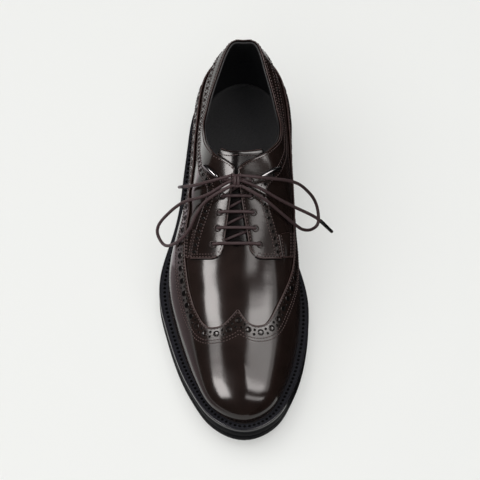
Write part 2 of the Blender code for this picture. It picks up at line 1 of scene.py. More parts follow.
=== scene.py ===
# %% [markdown]
# # A brogue derby, dressed
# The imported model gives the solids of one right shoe. This lesson dresses them: the polished
# leather panels, the punched holes, the rows of stitches, the laces and the rubber sole.
# Everything is in metres in the part's own frame: toe towards -Y, inner side towards +X, +Z up.
# The tables are in millimetres, as a maker would measure them.

# %% Load the frame
import math
from collections import namedtuple

import bmesh
import bpy
import numpy as np
from mathutils import Matrix, Vector


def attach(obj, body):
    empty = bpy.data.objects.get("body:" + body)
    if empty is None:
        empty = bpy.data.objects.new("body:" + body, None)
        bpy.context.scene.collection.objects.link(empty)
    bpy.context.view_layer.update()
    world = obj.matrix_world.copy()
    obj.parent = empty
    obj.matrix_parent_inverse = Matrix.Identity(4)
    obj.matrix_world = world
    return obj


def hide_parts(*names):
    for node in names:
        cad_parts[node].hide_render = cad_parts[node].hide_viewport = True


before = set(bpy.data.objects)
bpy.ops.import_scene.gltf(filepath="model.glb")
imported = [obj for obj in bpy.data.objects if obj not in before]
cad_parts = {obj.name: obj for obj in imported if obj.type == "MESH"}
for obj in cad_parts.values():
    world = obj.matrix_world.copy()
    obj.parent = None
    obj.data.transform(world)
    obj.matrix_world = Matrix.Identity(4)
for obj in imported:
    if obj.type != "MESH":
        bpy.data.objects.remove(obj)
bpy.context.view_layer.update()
print("frame nodes:", len(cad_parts))

# %% [markdown]
# ## The last
# A shoemaker pulls the leather over a last. Here the last is a short table of ribs, from the
# middle of the heel to the tip of the toe. Each rib climbs from the feather line, where the upper
# meets the welt, to the top line or to the ridge of the vamp. Smooth curves run through the table,
# so every panel can be cut from the same surface.
#
# A rib has the place of its foot, its width and the welt's width on both sides, then the place,
# middle, half width and height of its top, the angle through which it turns inwards, its fullness
# on both sides, and the share of the way up at which the collar band begins.

# %% Rib table, in millimetres from the back of the sole
Rib = namedtuple("Rib", "foot lateral medial welt_lat welt_med top middle half height turn "
                        "bulge_lat bulge_med band")
RIBS = (
    Rib(5.5, 0.0, 0.0, 5.5, 5.5, 8.4, 0.0, 0.0, 96.0, 26, 4.4, 4.4, 0.72),
    Rib(12.5, 19.6, 18.8, 5.5, 5.5, 9.6, 0.2, 8.8, 95.4, 28, 4.0, 4.0, 0.72),
    Rib(31.0, 31.8, 29.8, 5.5, 5.5, 27.0, -0.6, 16.2, 89.4, 30, 3.2, 3.8, 0.75),
    Rib(58.0, 36.2, 30.6, 5.5, 5.0, 55.0, -1.2, 24.2, 83.0, 32, 1.4, 5.0, 0.78),
    Rib(86.0, 39.2, 28.6, 5.7, 4.2, 76.0, -1.0, 27.8, 84.0, 36, 0.2, 6.4, 0.79),
    Rib(112.0, 42.0, 28.0, 6.2, 4.0, 94.0, -0.9, 26.6, 94.0, 48, -0.3, 8.0, 0.78),
    Rib(136.0, 46.6, 31.4, 7.4, 4.2, 114.0, -2.9, 18.8, 106.0, 64, 0.4, 7.8, 0.75),
    Rib(160.0, 52.4, 36.4, 8.4, 5.8, 130.0, -5.3, 0.0, 105.0, 76, 1.6, 6.4, 0.73),
    Rib(184.0, 53.8, 39.8, 8.4, 7.8, 153.0, -5.5, 0.0, 92.2, 71, 2.2, 3.8, 0.59),
    Rib(208.0, 49.6, 40.2, 8.0, 8.0, 179.0, -5.0, 0.0, 76.8, 71, 2.2, 2.4, 0.50),
    Rib(232.0, 43.4, 37.6, 8.0, 8.0, 202.0, -4.3, 0.0, 65.2, 68.5, 2.6, 2.1, 0.50),
    Rib(254.0, 36.0, 32.8, 8.0, 8.0, 222.0, -4.0, 0.0, 57.6, 67, 4.4, 2.6, 0.50),
    Rib(273.0, 27.2, 26.0, 8.0, 8.0, 240.0, -2.8, 0.0, 52.4, 70, 6.8, 3.6, 0.50),
    Rib(288.0, 17.0, 17.6, 8.0, 8.0, 253.0, -1.2, 0.0, 49.6, 74, 6.6, 3.6, 0.50),
    Rib(297.0, -0.6, 0.6, 8.0, 8.0, 259.0, 0.2, 0.0, 48.8, 78, 3.4, 3.4, 0.50),
)
LAST_RIB = len(RIBS) - 1
LOOP = 2 * LAST_RIB
SIDES = {-1: "lateral", 1: "medial"}
print("ribs:", len(RIBS))

# %% Levels of the sole, and half widths of the opening
Level = namedtuple("Level", "along feather under")
LEVELS = (
    Level(-5.0, 33.2, 19.2), Level(40.0, 32.4, 18.4), Level(80.0, 29.2, 15.2),
    Level(110.0, 23.4, 9.2), Level(136.0, 18.4, 3.2), Level(156.0, 16.3, 0.0),
    Level(214.0, 16.3, 0.0), Level(236.0, 17.4, 1.2), Level(260.0, 19.8, 3.8),
    Level(284.0, 22.6, 7.0), Level(312.0, 26.2, 11.0),
)
Gap = namedtuple("Gap", "top half")
GAPS = (Gap(118.0, 0.0), Gap(129.0, 0.7), Gap(146.0, 3.5), Gap(156.0, 5.2), Gap(170.0, 8.0),
        Gap(180.0, 9.6))
THROAT_ROUND = 180.0
THROAT_END = 188.0
print("opening from %.0f to %.0f mm" % (GAPS[0].top, THROAT_END))

# %% [markdown]
# Two kinds of curve run through the tables. A monotone cubic never overshoots, which suits heights
# and edges. A closed spline round the foot has no kinks, which suits the leather itself, because a
# polished surface shows every kink in its reflections.

# %% Monotone curve through a table
def monotone(rows, x_name, y_name):
    tx = np.array([getattr(row, x_name) for row in rows], float)
    ty = np.array([getattr(row, y_name) for row in rows], float)
    step = np.diff(tx)
    slope = np.diff(ty) / step
    tangent = np.zeros_like(ty)
    for i in range(1, len(tx) - 1):
        if slope[i - 1] * slope[i] > 0:
            w1 = 2 * step[i] + step[i - 1]
            w2 = step[i] + 2 * step[i - 1]
            tangent[i] = (w1 + w2) / (w1 / slope[i - 1] + w2 / slope[i])
    tangent[0], tangent[-1] = slope[0], slope[-1]

    def read(x):
        x = np.asarray(x, float)
        i = np.clip(np.searchsorted(tx, x) - 1, 0, len(step) - 1)
        s = np.clip((x - tx[i]) / step[i], 0.0, 1.0)
        h = step[i]
        return ((1 + 2 * s) * (1 - s) ** 2 * ty[i] + s * (1 - s) ** 2 * h * tangent[i]
                + s * s * (3 - 2 * s) * ty[i + 1] + s * s * (s - 1) * h * tangent[i + 1])

    return read


# %% Closed curve round the foot
def closed_curve(lateral, medial):
    values = np.array(list(lateral) + list(medial)[LAST_RIB - 1:0:-1], float)
    n = len(values)
    matrix = 4 * np.eye(n) + np.roll(np.eye(n), 1, 0) + np.roll(np.eye(n), -1, 0)
    bend = np.linalg.solve(matrix, 6 * (np.roll(values, -1) - 2 * values + np.roll(values, 1)))

    def read(loop):
        loop = np.asarray(loop, float)
        base = np.floor(loop)
        b = loop - base
        a = 1 - b
        i = base.astype(int) % n
        j = (i + 1) % n
        return a * values[i] + b * values[j] + ((a ** 3 - a) * bend[i] + (b ** 3 - b) * bend[j]) / 6

    return read


# %% Curves of the last
def column(name):
    return [getattr(rib, name) for rib in RIBS]


def even_curve(name):
    return closed_curve(column(name), column(name))


def rib_curve(name):
    Count = namedtuple("Count", "rib value")
    return monotone([Count(rib, value) for rib, value in enumerate(column(name))], "rib", "value")


foot_along = even_curve("foot")
foot_x = closed_curve([-x for x in column("lateral")], column("medial"))
welt_out = closed_curve(column("welt_lat"), column("welt_med"))
top_along = even_curve("top")
top_middle = even_curve("middle")
top_height = even_curve("height")
rib_turn = even_curve("turn")
bulge = closed_curve(column("bulge_lat"), column("bulge_med"))
top_half = rib_curve("half")
band_low = rib_curve("band")
feather = monotone(LEVELS, "along", "feather")
under = monotone(LEVELS, "along", "under")
gap_table = monotone(GAPS, "top", "half")
print("feather line at the heel: %.1f mm" % feather(RIBS[0].foot))

# %% [markdown]
# A place on the last is a loop number and a share. The loop number counts the ribs from the heel
# along the lateral side to the toe and back along the medial side. The share tells how far up the
# rib the place lies. A panel could be pushed into shape by hand, but with a formula its edges,
# stitches and holes all stay on the leather.

# %% Ribs and sides
def rib_number(loop):
    loop = np.mod(loop, LOOP)
    return np.where(loop <= LAST_RIB, loop, LOOP - loop)


def side_of(loop):
    return np.where(np.mod(loop, LOOP) <= LAST_RIB, -1.0, 1.0)


def on_side(numbers, side):
    """Loop numbers of ribs on the lateral side, -1, or on the medial side, 1."""
    return numbers if side < 0 else LOOP - numbers


def along_side(numbers, side):
    """Loop numbers of one side, in the order of the loop."""
    return on_side(numbers, side)[::-side]


def both_sides(numbers):
    return np.concatenate((numbers, LOOP - numbers[-2::-1]))


def ribs_between(*stretches):
    """Rib numbers from stretches of (first, last, steps)."""
    numbers = [np.linspace(first, last, steps, endpoint=False) for first, last, steps in stretches]
    return np.concatenate(numbers + [[stretches[-1][1]]])


# %% The surface of the last
CLEARANCE = 0.3
STEP = 0.01
FULL_LOW = 1.25
FULL_HIGH = 0.75


def foot_point(loop, out=0.0):
    """Place on the feather line, or at a distance outside it."""
    loop = np.asarray(loop, float)
    dx = foot_x(loop + 2 * STEP) - foot_x(loop - 2 * STEP)
    da = foot_along(loop + 2 * STEP) - foot_along(loop - 2 * STEP)
    size = np.hypot(dx, da)
    return foot_x(loop) - out * da / size, foot_along(loop) + out * dx / size


def last_point(loop, share):
    loop, share = np.broadcast_arrays(np.asarray(loop, float), np.asarray(share, float))
    x0, a0 = foot_point(loop)
    z0 = feather(a0) + CLEARANCE
    x1 = top_middle(loop) + side_of(loop) * top_half(rib_number(loop))
    turn = np.radians(rib_turn(loop))
    inwards = (1 - np.cos(share * turn)) / (1 - np.cos(turn))
    upwards = np.sin(share * turn) / np.sin(turn)
    fullness = np.sin(np.pi * share) * (FULL_LOW + (FULL_HIGH - FULL_LOW) * share)
    x2, a2 = foot_point(loop, bulge(loop) * fullness)
    return np.stack((x2 + (x1 - x0) * inwards, a2 + (top_along(loop) - a0) * inwards,
                     z0 + (top_height(loop) - z0) * upwards), -1)


# %% Directions on the last
RIDGE_SHARE = 0.995


def unit(v):
    return v / np.maximum(np.linalg.norm(v, axis=-1, keepdims=True), 1e-9)


def last_axes(loop, share):
    """Steps of the surface for one rib and for one whole share."""
    low = np.clip(share, STEP, 1 - STEP)
    across = (last_point(loop + STEP, low) - last_point(loop - STEP, low)) / (2 * STEP)
    upwards = (last_point(loop, low + STEP) - last_point(loop, low - STEP)) / (2 * STEP)
    return across, upwards


def last_normal(loop, share):
    """Direction off the leather; on the ridge it is the middle of both sides."""
    loop, share = np.broadcast_arrays(np.asarray(loop, float), np.asarray(share, float))
    across, upwards = last_axes(loop, share)
    normal = unit(np.cross(upwards, across))
    across, upwards = last_axes(LOOP - loop, share)
    other = unit(np.cross(upwards, across))
    ridge = (share > RIDGE_SHARE) & (rib_number(loop) > SLIT_END - STEP)
    return np.where(ridge[..., None], unit(normal + other), normal)


def leather_point(loop, share, offset):
    return last_point(loop, share) + np.asarray(offset)[..., None] * last_normal(loop, share)


# %% [markdown]
# ## Edges of the panels
# The pattern pieces are regions of the last. The long wing has a W over the vamp and runs round
# both sides to the heel. Behind the ninth rib its edge is a share of each rib, and in front of it
# the W is a rib for each share. A pattern could be drawn flat and wrapped, but leather stretches
# over a last, and edges given on the last itself fall where the eye sees them.

# %% Edge of the long wing
Edge = namedtuple("Edge", "rib share")
WING_LATERAL = (
    Edge(0.0, 0.52), Edge(2.0, 0.57), Edge(3.0, 0.61), Edge(4.0, 0.61), Edge(5.0, 0.585),
    Edge(6.0, 0.55), Edge(7.0, 0.52), Edge(8.0, 0.505), Edge(9.0, 0.50),
)
WING_MEDIAL = (
    Edge(0.0, 0.52), Edge(2.0, 0.56), Edge(3.0, 0.57), Edge(4.0, 0.52), Edge(5.0, 0.44),
    Edge(6.0, 0.37), Edge(7.0, 0.35), Edge(8.0, 0.39), Edge(8.6, 0.45), Edge(9.0, 0.50),
)
FRONT_LATERAL = (
    Edge(9.0, 0.50), Edge(9.52, 0.52), Edge(9.88, 0.555), Edge(10.26, 0.60), Edge(10.58, 0.66),
    Edge(10.82, 0.74), Edge(10.97, 0.815), Edge(11.01, 0.865), Edge(10.99, 0.92), Edge(10.92, 1.0),
)
FRONT_MEDIAL = (
    Edge(9.0, 0.50), Edge(9.4, 0.55), Edge(9.8, 0.60), Edge(10.16, 0.64), Edge(10.58, 0.70),
    Edge(10.88, 0.775), Edge(11.06, 0.845), Edge(11.11, 0.90), Edge(11.06, 0.95), Edge(10.92, 1.0),
)
WING_TURN = FRONT_LATERAL[0].rib
WING_POINT = FRONT_LATERAL[-1].rib
wing_lateral = monotone(WING_LATERAL, "rib", "share")
wing_medial = monotone(WING_MEDIAL, "rib", "share")
front_rib = {-1: monotone(FRONT_LATERAL, "share", "rib"), 1: monotone(FRONT_MEDIAL, "share", "rib")}


def wing_edge(loop):
    number = rib_number(loop)
    return np.where(side_of(loop) < 0, wing_lateral(number), wing_medial(number))


# %% Edge of the collar and the throat
def bisect(test, low, high, turns=32):
    """Highest value for which test still says yes, one for each entry."""
    low = np.array(low, float)
    high = np.array(high, float)
    for _ in range(turns):
        middle = (low + high) / 2
        yes = test(middle)
        low = np.where(yes, middle, low)
        high = np.where(yes, high, middle)
    return (low + high) / 2


COLLAR_RIB = 5.0


def rib_at_top(top):
    top = np.asarray(top, float)
    return bisect(lambda rib: top_along(rib) < top, np.full(top.shape, COLLAR_RIB),
                  np.full(top.shape, float(LAST_RIB)))


SLIT_END = float(rib_at_top(THROAT_END))


def half_gap(top, rounded=True):
    reach = np.clip((top - THROAT_ROUND) / (THROAT_END - THROAT_ROUND), 0.0, 1.0)
    return gap_table(top) * (np.sqrt(1 - reach * reach) if rounded else 1.0)


def share_at_gap(loop, gap):
    run = np.abs(top_middle(loop) - foot_x(loop))
    turn = np.radians(rib_turn(loop))
    inwards = np.minimum((run - gap) / (run - top_half(rib_number(loop))), 1.0)
    return np.arccos(1 - inwards * (1 - np.cos(turn))) / turn


def upper_edge(loop, rounded=True):
    """Share at which a rib ends, at the collar or at the throat."""
    loop = np.asarray(loop, float)
    closed = (rib_number(loop) < COLLAR_RIB) | (rounded & (top_along(loop) >= THROAT_END))
    return np.where(closed, 1.0, share_at_gap(loop, half_gap(top_along(loop), rounded)))


# %% [markdown]
# A facing carries the eyelets and runs on as the collar band. It ends in a straight edge across the
# vamp with a round corner beside the opening. The ribs lie aslant there, so near the corner the
# round cuts a rib at both of its ends.

# %% Edges of the facings
FACING_BACK = 0.56
FACING_CUT = 116.4
FACING_LEAN = math.radians(57)
FACING_ROUND = 10.5
FACING_INNER = 8.9
PANEL_STEP = 0.012


def front_reach(loop, share):
    """Distance in front of the facing's front edge, with its round corner."""
    p = last_point(loop, share)
    beside = np.abs(p[..., 0] - top_middle(loop)) - FACING_INNER
    t = np.clip(1 - beside / FACING_ROUND, 0.0, 1.0)
    cut = FACING_CUT - FACING_ROUND * (1 - np.sqrt(1 - t * t))
    return p[..., 1] * math.sin(FACING_LEAN) - p[..., 2] * math.cos(FACING_LEAN) - cut


def band_edge(loop):
    return np.maximum(band_low(rib_number(loop)), wing_edge(loop) + PANEL_STEP)


def facing_inside(loop):
    """Share on a rib that lies farthest behind the front edge."""
    low = band_edge(loop)[..., None]
    shares = low + np.linspace(0, 1, 81) * (upper_edge(loop)[..., None] - low)
    best = np.argmin(front_reach(loop[..., None], shares), -1)
    return np.take_along_axis(shares, best[..., None], -1)[..., 0]


def facing_low(loop):
    loop = np.asarray(loop, float)
    low = band_edge(loop)
    cut = bisect(lambda share: front_reach(loop, share) > 0, low, facing_inside(loop))
    return np.where(front_reach(loop, low) > 0, cut, low)


def facing_high(loop):
    loop = np.asarray(loop, float)
    high = upper_edge(loop)
    cut = bisect(lambda share: front_reach(loop, share) < 0, facing_inside(loop), high)
    return np.where(front_reach(loop, high) > 0, cut, high)


def facing_front(side):
    """Rib that just touches the round corner."""
    def behind(rib):
        loop = on_side(rib, side)
        return front_reach(loop, facing_inside(loop)) < -0.02
    return float(bisect(behind, 8.0, SLIT_END))


FACING_FRONT = {side: facing_front(side) for side in SIDES}
print("throat ends at rib %.2f, facings at %.2f and %.2f" % (SLIT_END, FACING_FRONT[-1], FACING_FRONT[1]))

# %% [markdown]
# The tables count from the back of the sole. The part's frame has its origin under the middle of
# the sole's outline, so that outline's own box gives the shift.

# %% Place in the part's frame
ring = LOOP * np.arange(720) / 720
ring_x, ring_along = foot_point(ring, welt_out(ring))
MIDDLE_X = (ring_x.min() + ring_x.max()) / 2
MIDDLE_ALONG = (ring_along.min() + ring_along.max()) / 2
MM = 0.001


def place(points):
    p = np.asarray(points, float)
    return np.stack((p[..., 0] - MIDDLE_X, MIDDLE_ALONG - p[..., 1], p[..., 2]), -1) * MM


def place_direction(v):
    return np.asarray(v, float) * np.array((1.0, -1.0, 1.0))


print("sole %.1f mm long" % (ring_along.max() - ring_along.min()))

# %% [markdown]
# ## Finishes
# A finish is a Principled shader with a plain colour. Real leather, rubber and thread are never quite
# even, so noises move the colour or the roughness between two values, and others lift the surface.
# Painted textures would do too, but noises on Object coordinates need no image and no seams.

# %% Noise, bump and variation
Spread = namedtuple("Spread", "scale low high")
Grain = namedtuple("Grain", "scale strength depth detail", defaults=(3.0,))


def coordinates(material):
    nodes = material.node_tree.nodes
    coords = nodes.get("Coordinates") or nodes.new("ShaderNodeTexCoord")
    coords.name = "Coordinates"
    return coords.outputs["Object"]


def noise(material, scale, detail=3.0, vector=None):
    node = material.node_tree.nodes.new("ShaderNodeTexNoise")
    node.inputs["Scale"].default_value = scale
    node.inputs["Detail"].default_value = detail
    source = coordinates(material) if vector is None else vector
    material.node_tree.links.new(source, node.inputs["Vector"])
    return node.outputs["Fac"]


def add_bump(material, height, strength, distance):
    """Puts a bump on top of those that the material already has."""
    tree = material.node_tree
    shader = tree.nodes["Principled BSDF"]
    bump = tree.nodes.new("ShaderNodeBump")
    bump.inputs["Strength"].default_value = strength
    bump.inputs["Distance"].default_value = distance
    tree.links.new(height, bump.inputs["Height"])
    if shader.inputs["Normal"].links:
        tree.links.new(shader.inputs["Normal"].links[0].from_socket, bump.inputs["Normal"])
    tree.links.new(bump.outputs["Normal"], shader.inputs["Normal"])
    if shader.inputs["Coat Weight"].default_value > 0:
        tree.links.new(bump.outputs["Normal"], shader.inputs["Coat Normal"])


def add_grain(material, grain):
    add_bump(material, noise(material, grain.scale, grain.detail), grain.strength, grain.depth)


def vary(material, socket, spread):
    """Lets a noise move one socket of the shader between two values."""
    tree = material.node_tree
    ramp = tree.nodes.new("ShaderNodeValToRGB")
    for element, at, value in zip(ramp.color_ramp.elements, (0.3, 0.7), spread[1:]):
        element.position = at
        element.color = (*value, 1.0) if isinstance(value, tuple) else (value, value, value, 1.0)
    tree.links.new(noise(material, spread.scale), ramp.inputs["Fac"])
    tree.links.new(ramp.outputs["Color"], tree.nodes["Principled BSDF"].inputs[socket])


# %% Material helper
def finish(name, colour, roughness, tint=None, gloss=None, grain=None, **more):
    """Principled material; tint varies its colour, gloss its roughness, and grain lifts it."""
    material = bpy.data.materials.new(name)
    material.use_nodes = True
    shader = material.node_tree.nodes["Principled BSDF"]
    shader.inputs["Base Color"].default_value = (*colour, 1.0)
    shader.inputs["Roughness"].default_value = roughness
    for socket, value in more.items():
        shader.inputs[socket.replace("_", " ")].default_value = value
    if tint:
        vary(material, "Base Color", tint)
    if gloss:
        vary(material, "Roughness", gloss)
    if grain:
        add_grain(material, grain)
    return material


# %% [markdown]
# The upper is dark brown calf with a glassy polish: a dark base under a clear coat. A slow wave makes
# its reflections waver, a stretched noise gives the fine creases, and a third one the pores. The
# tongue is the same leather with a darker base, which is painted shade for its place deep between
# the facings. The facings rise towards the opening over the tongue under them. That slope is only in
# their shading, as a bump that grows with X, because it is too slight to model, and yet it makes
# their reflections break off from those of the vamp.

# %% Leather
CREASE_PULL = (0.22, 1.0, 0.6)
FACING_SLOPE = {-1: 0.19, 1: 0.11}
calf = finish("polished_calf", (0.012, 0.008, 0.007), 0.3,
              tint=Spread(60.0, (0.0095, 0.0056, 0.0046), (0.0165, 0.0098, 0.0082)),
              gloss=Spread(300.0, 0.25, 0.4), Specular_IOR_Level=0.0,
              Coat_Weight=1.0, Coat_Roughness=0.15, Coat_IOR=1.48)
add_grain(calf, Grain(42.0, 0.15, 0.004, 1.0))
pull = calf.node_tree.nodes.new("ShaderNodeMapping")
pull.inputs["Scale"].default_value = CREASE_PULL
calf.node_tree.links.new(coordinates(calf), pull.inputs["Vector"])
add_bump(calf, noise(calf, 330.0, 2.0, pull.outputs["Vector"]), 0.05, 0.0005)
add_grain(calf, Grain(1500.0, 0.05, 0.0003, 2.0))
facing_calf = {}
for side, slope in FACING_SLOPE.items():
    raised = calf.copy()
    raised.name = f"raised_calf_{SIDES[side]}"
    sideways = raised.node_tree.nodes.new("ShaderNodeSeparateXYZ")
    raised.node_tree.links.new(coordinates(raised), sideways.inputs["Vector"])
    add_bump(raised, sideways.outputs["X"], 1.0, slope)
    facing_calf[side] = raised
# Its darker base is painted shade for the tongue deep between the facings.
tongue_calf_painted_shade = finish("tongue_calf_painted_shade", (0.0045, 0.0030, 0.0028), 0.3, gloss=Spread(300.0, 0.25, 0.4),
                     grain=Grain(60.0, 0.15, 0.003, 1.0), Specular_IOR_Level=0.0,
                     Coat_Weight=1.0, Coat_Roughness=0.18, Coat_IOR=1.48)
cut_edge = finish("leather_cut_edge", (0.055, 0.030, 0.027), 0.42,
                  tint=Spread(500.0, (0.040, 0.020, 0.018), (0.075, 0.042, 0.038)),
                  grain=Grain(1800.0, 0.3, 0.0004))
print("leathers:", len(bpy.data.materials))

# %% [markdown]
# The shoe is lined in black, and its sock is charcoal. The sole is black rubber. The welt on it has a
# brown bead against the upper, a dull strip for the stitches, and a smooth rim whose clear coat
# shines as a thin light line.

# %% Lining and rubber
lining = finish("black_lining", (0.006, 0.0063, 0.0075), 0.55, gloss=Spread(400.0, 0.45, 0.65),
                grain=Grain(1600.0, 0.25, 0.0004))
sock = finish("charcoal_sock", (0.0135, 0.0135, 0.015), 0.6,
              tint=Spread(900.0, (0.0105, 0.0105, 0.012), (0.017, 0.017, 0.0185)),
              grain=Grain(1400.0, 0.35, 0.0005), Specular_IOR_Level=0.25)
rubber = finish("black_rubber", (0.0028, 0.0030, 0.0040), 0.62, gloss=Spread(250.0, 0.58, 0.74),
                grain=Grain(1200.0, 0.2, 0.0004), Specular_IOR_Level=0.08)
welt_rubber = finish("welt_rubber", (0.021, 0.021, 0.026), 0.5, gloss=Spread(350.0, 0.42, 0.6),
                     grain=Grain(1000.0, 0.15, 0.0004), Specular_IOR_Level=0.12)
welt_rim = finish("welt_rim", (0.016, 0.0158, 0.019), 0.3, gloss=Spread(350.0, 0.24, 0.36),
                  grain=Grain(1000.0, 0.12, 0.0004), Specular_IOR_Level=0.0,
                  Coat_Weight=1.0, Coat_Roughness=0.16, Coat_IOR=1.55)
welt_bead = finish("welt_bead", (0.030, 0.023, 0.021), 0.32, grain=Grain(900.0, 0.1, 0.0004),
                   Specular_IOR_Level=0.5)
print("finishes so far:", len(bpy.data.materials))

# %% [markdown]
# Thread is dull, and that of the welt is black. The lace is waxed cotton with a fine weave, its tips
# are black, the keepers are gunmetal, and the eyelets are dark rings. The holes are near black, which
# is painted shade for the inside of a punched hole.

# %% Thread, lace and metal
thread = finish("brown_thread", (0.062, 0.034, 0.032), 0.6,
                tint=Spread(700.0, (0.045, 0.025, 0.023), (0.080, 0.045, 0.042)),
                grain=Grain(2500.0, 0.4, 0.0003))
welt_thread = finish("black_thread", (0.0014, 0.0014, 0.0016), 0.7, gloss=Spread(700.0, 0.6, 0.8),
                     grain=Grain(2200.0, 0.4, 0.0003), Specular_IOR_Level=0.05)
# Painted shade: the near black inside a punched hole.
punched = finish("painted_hole_shade", (0.0022, 0.0018, 0.0017), 0.6, gloss=Spread(900.0, 0.4, 0.6),
                 Specular_IOR_Level=0.05)
# Painted shade: near black lines under the stitches and under the facings' front edges.
groove_shade = finish("painted_groove_shade", (0.004, 0.003, 0.0028), 0.7, gloss=Spread(900.0, 0.6, 0.8),
                Specular_IOR_Level=0.1)
waxed_lace = finish("waxed_lace", (0.048, 0.026, 0.028), 0.5,
                    tint=Spread(1100.0, (0.036, 0.019, 0.020), (0.060, 0.034, 0.036)),
                    grain=Grain(1900.0, 0.5, 0.0005), Specular_IOR_Level=0.3)
aglet_black = finish("aglet", (0.006, 0.006, 0.007), 0.25, gloss=Spread(500.0, 0.2, 0.32))
gunmetal = finish("polished_gunmetal", (0.20, 0.195, 0.20), 0.16, gloss=Spread(800.0, 0.12, 0.22),
                  Metallic=1.0)
eyelet_dark = finish("dark_eyelet", (0.05, 0.043, 0.042), 0.3, gloss=Spread(900.0, 0.22, 0.36),
                     Metallic=1.0)
print("finishes:", len(bpy.data.materials))

# %% [markdown]
# ## Sheets of leather
# A panel could be modelled by pushing vertices by hand. Here a flat grid is laid on the last by a
# function, welded where both sides meet on the ridge, and given its thickness with Solidify. One
# level of subdivision rounds its cut edges. Where the grids of the wing run together at the toe, the
# vertices round the tip are smoothed, so that its reflection has no kink.

# %% Grids, meshes and pieces
WELD = 0.00002


def lay_grid(bm, points):
    """Lays a grid of faces on points in millimetres."""
    spots = place(points)
    rows, columns = spots.shape[0] - 1, spots.shape[1] - 1
    made = bmesh.ops.create_grid(bm, x_segments=rows, y_segments=columns, size=0.5)["verts"]
    for vert in made:
        vert.co = spots[round((vert.co.x + 0.5) * rows), round((vert.co.y + 0.5) * columns)]
    return made


def weld(bm):
    bmesh.ops.remove_doubles(bm, verts=bm.verts, dist=WELD)
    bmesh.ops.dissolve_degenerate(bm, edges=bm.edges, dist=WELD)


def smooth_mesh(name, bm, sharp=None):
    mesh = bpy.data.meshes.new(name)
    bm.to_mesh(mesh)
    bm.free()
    mesh.shade_smooth()
    if sharp:
        mesh.set_sharp_from_angle(angle=math.radians(sharp))
    return mesh


def new_object(name, data, materials):
    piece = bpy.data.objects.new(name, data)
    for material in materials:
        data.materials.append(material)
    bpy.context.scene.collection.objects.link(piece)
    return piece


def declare(piece, node=None):
    """Hangs a piece on the root body and hides the node that it dresses, if any."""
    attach(piece, "root")
    if node:
        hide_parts(node)
    return piece


# %% Sheet helper
SOFT_RADII = (0.022, 0.019, 0.016, 0.013, 0.010)
SOFT_TURNS = 8


def soften(bm, spot):
    for radius in SOFT_RADII:
        near = [v for v in bm.verts if (v.co - Vector(place(spot))).length < radius]
        for _ in range(SOFT_TURNS):
            bmesh.ops.smooth_vert(bm, verts=near, factor=0.5,
                                  use_axis_x=True, use_axis_y=True, use_axis_z=True)


def sheet(name, grids, materials, thickness, outwards, levels=1, rim=1, inside=0, tip=None):
    """Grids with a thickness; rim and inside pick materials, and tip is a spot to soften."""
    bm = bmesh.new()
    for points in grids:
        lay_grid(bm, points)
    weld(bm)
    if tip is not None:
        soften(bm, tip)
    mesh = smooth_mesh(name, bm)
    piece = new_object(name, mesh, materials)
    wall = piece.modifiers.new("Wall", "SOLIDIFY")
    wall.thickness = thickness * MM
    wall.offset = 1.0 if outwards else -1.0
    wall.material_offset = inside
    wall.material_offset_rim = rim
    if levels:
        smooth = piece.modifiers.new("Smooth", "SUBSURF")
        smooth.levels = levels
        smooth.render_levels = levels
        smooth.boundary_smooth = "PRESERVE_CORNERS"
    print(name, len(mesh.polygons), "faces before smoothing")
    return piece


# %% [markdown]
# ## Upper
# Vamp and quarters are one wall of 1.9 mm with a black inside. The quarters end at the collar and at
# the opening, and the vamp closes in front of it. Two small grids fill the corners between the slanting
# last ribs of the quarters and the straight end of the opening under the first lace.

# %% Places beside the opening
def facing_place(top, side, half):
    """Loop and share of a point at a place along the ridge and a distance from it."""
    top, side, half = np.broadcast_arrays(np.asarray(top, float), side, half)
    number = rib_at_top(top)
    for _ in range(14):
        loop = np.where(side < 0, number, LOOP - number)
        share = share_at_gap(loop, half)
        number = number + (top - last_point(loop, share)[..., 1]) / 24.0
    loop = np.where(side < 0, number, LOOP - number)
    return loop, share_at_gap(loop, half)


def facing_spot(top, side, half, offset):
    loop, share = facing_place(top, side, half)
    return leather_point(loop, share, offset), last_normal(loop, share)


# %% Quarters and vamp
UPPER_WALL = 1.9
VAMP_REACH = 179.0
VAMP_RIB = float(rib_at_top(VAMP_REACH))
quarter_ribs = ribs_between((0, 5, 34), (5, 7.3, 30), (7.3, VAMP_RIB, 24))
rise = np.linspace(0, 1, 27)
closing = np.linspace(0, 1, 9)
upper_grids = []
for side in SIDES:
    loops = along_side(quarter_ribs, side)[:, None]
    upper_grids.append(leather_point(loops, rise * upper_edge(loops, False), 0.0))
loops = both_sides(np.linspace(VAMP_RIB, LAST_RIB, 58))
ends = (VAMP_RIB, LOOP - VAMP_RIB)
edges = np.interp(loops, ends, upper_edge(ends, False))[:, None]
shares = np.concatenate((rise * edges, edges + closing[1:] * (1 - edges)), 1)
upper_grids.insert(1, leather_point(loops[:, None], shares, 0.0))
print("vamp begins at rib %.2f" % VAMP_RIB)

# %% Corners at the end of the opening, and the wall
for side in SIDES:
    beside = on_side(quarter_ribs[:-8:-1], side)
    at_gap = upper_edge(beside, False)
    at_rib = at_gap[0] + closing * (1 - at_gap[0])
    half = np.abs(last_point(beside[0], at_rib)[:, 0] - top_middle(beside[0]))
    tops = np.linspace(last_point(beside[-1], at_gap[-1])[1], VAMP_REACH, len(closing))
    across, at_edge = facing_place(tops, side, half)
    u = np.linspace(0, 1, len(beside))[:, None]
    loops = beside[0] + (across - beside[0]) * u
    shares = at_rib + (at_edge - at_rib) * u
    loops[:, 0] = beside
    shares[:, 0] = at_gap
    upper_grids.append(leather_point(loops, shares, 0.0)[::side])
upper = sheet("upper_wall", upper_grids, (calf, lining), UPPER_WALL, False, inside=1)
declare(upper, "upper")

# %% [markdown]
# ## Panels on the upper
# The long wing, the facings and the backstay are 1 mm leather that lies on the upper. The wing is
# made of two sides and two halves of its front, welded on the ridge. In front its grid runs from the
# edge of the W to the tip of the toe.

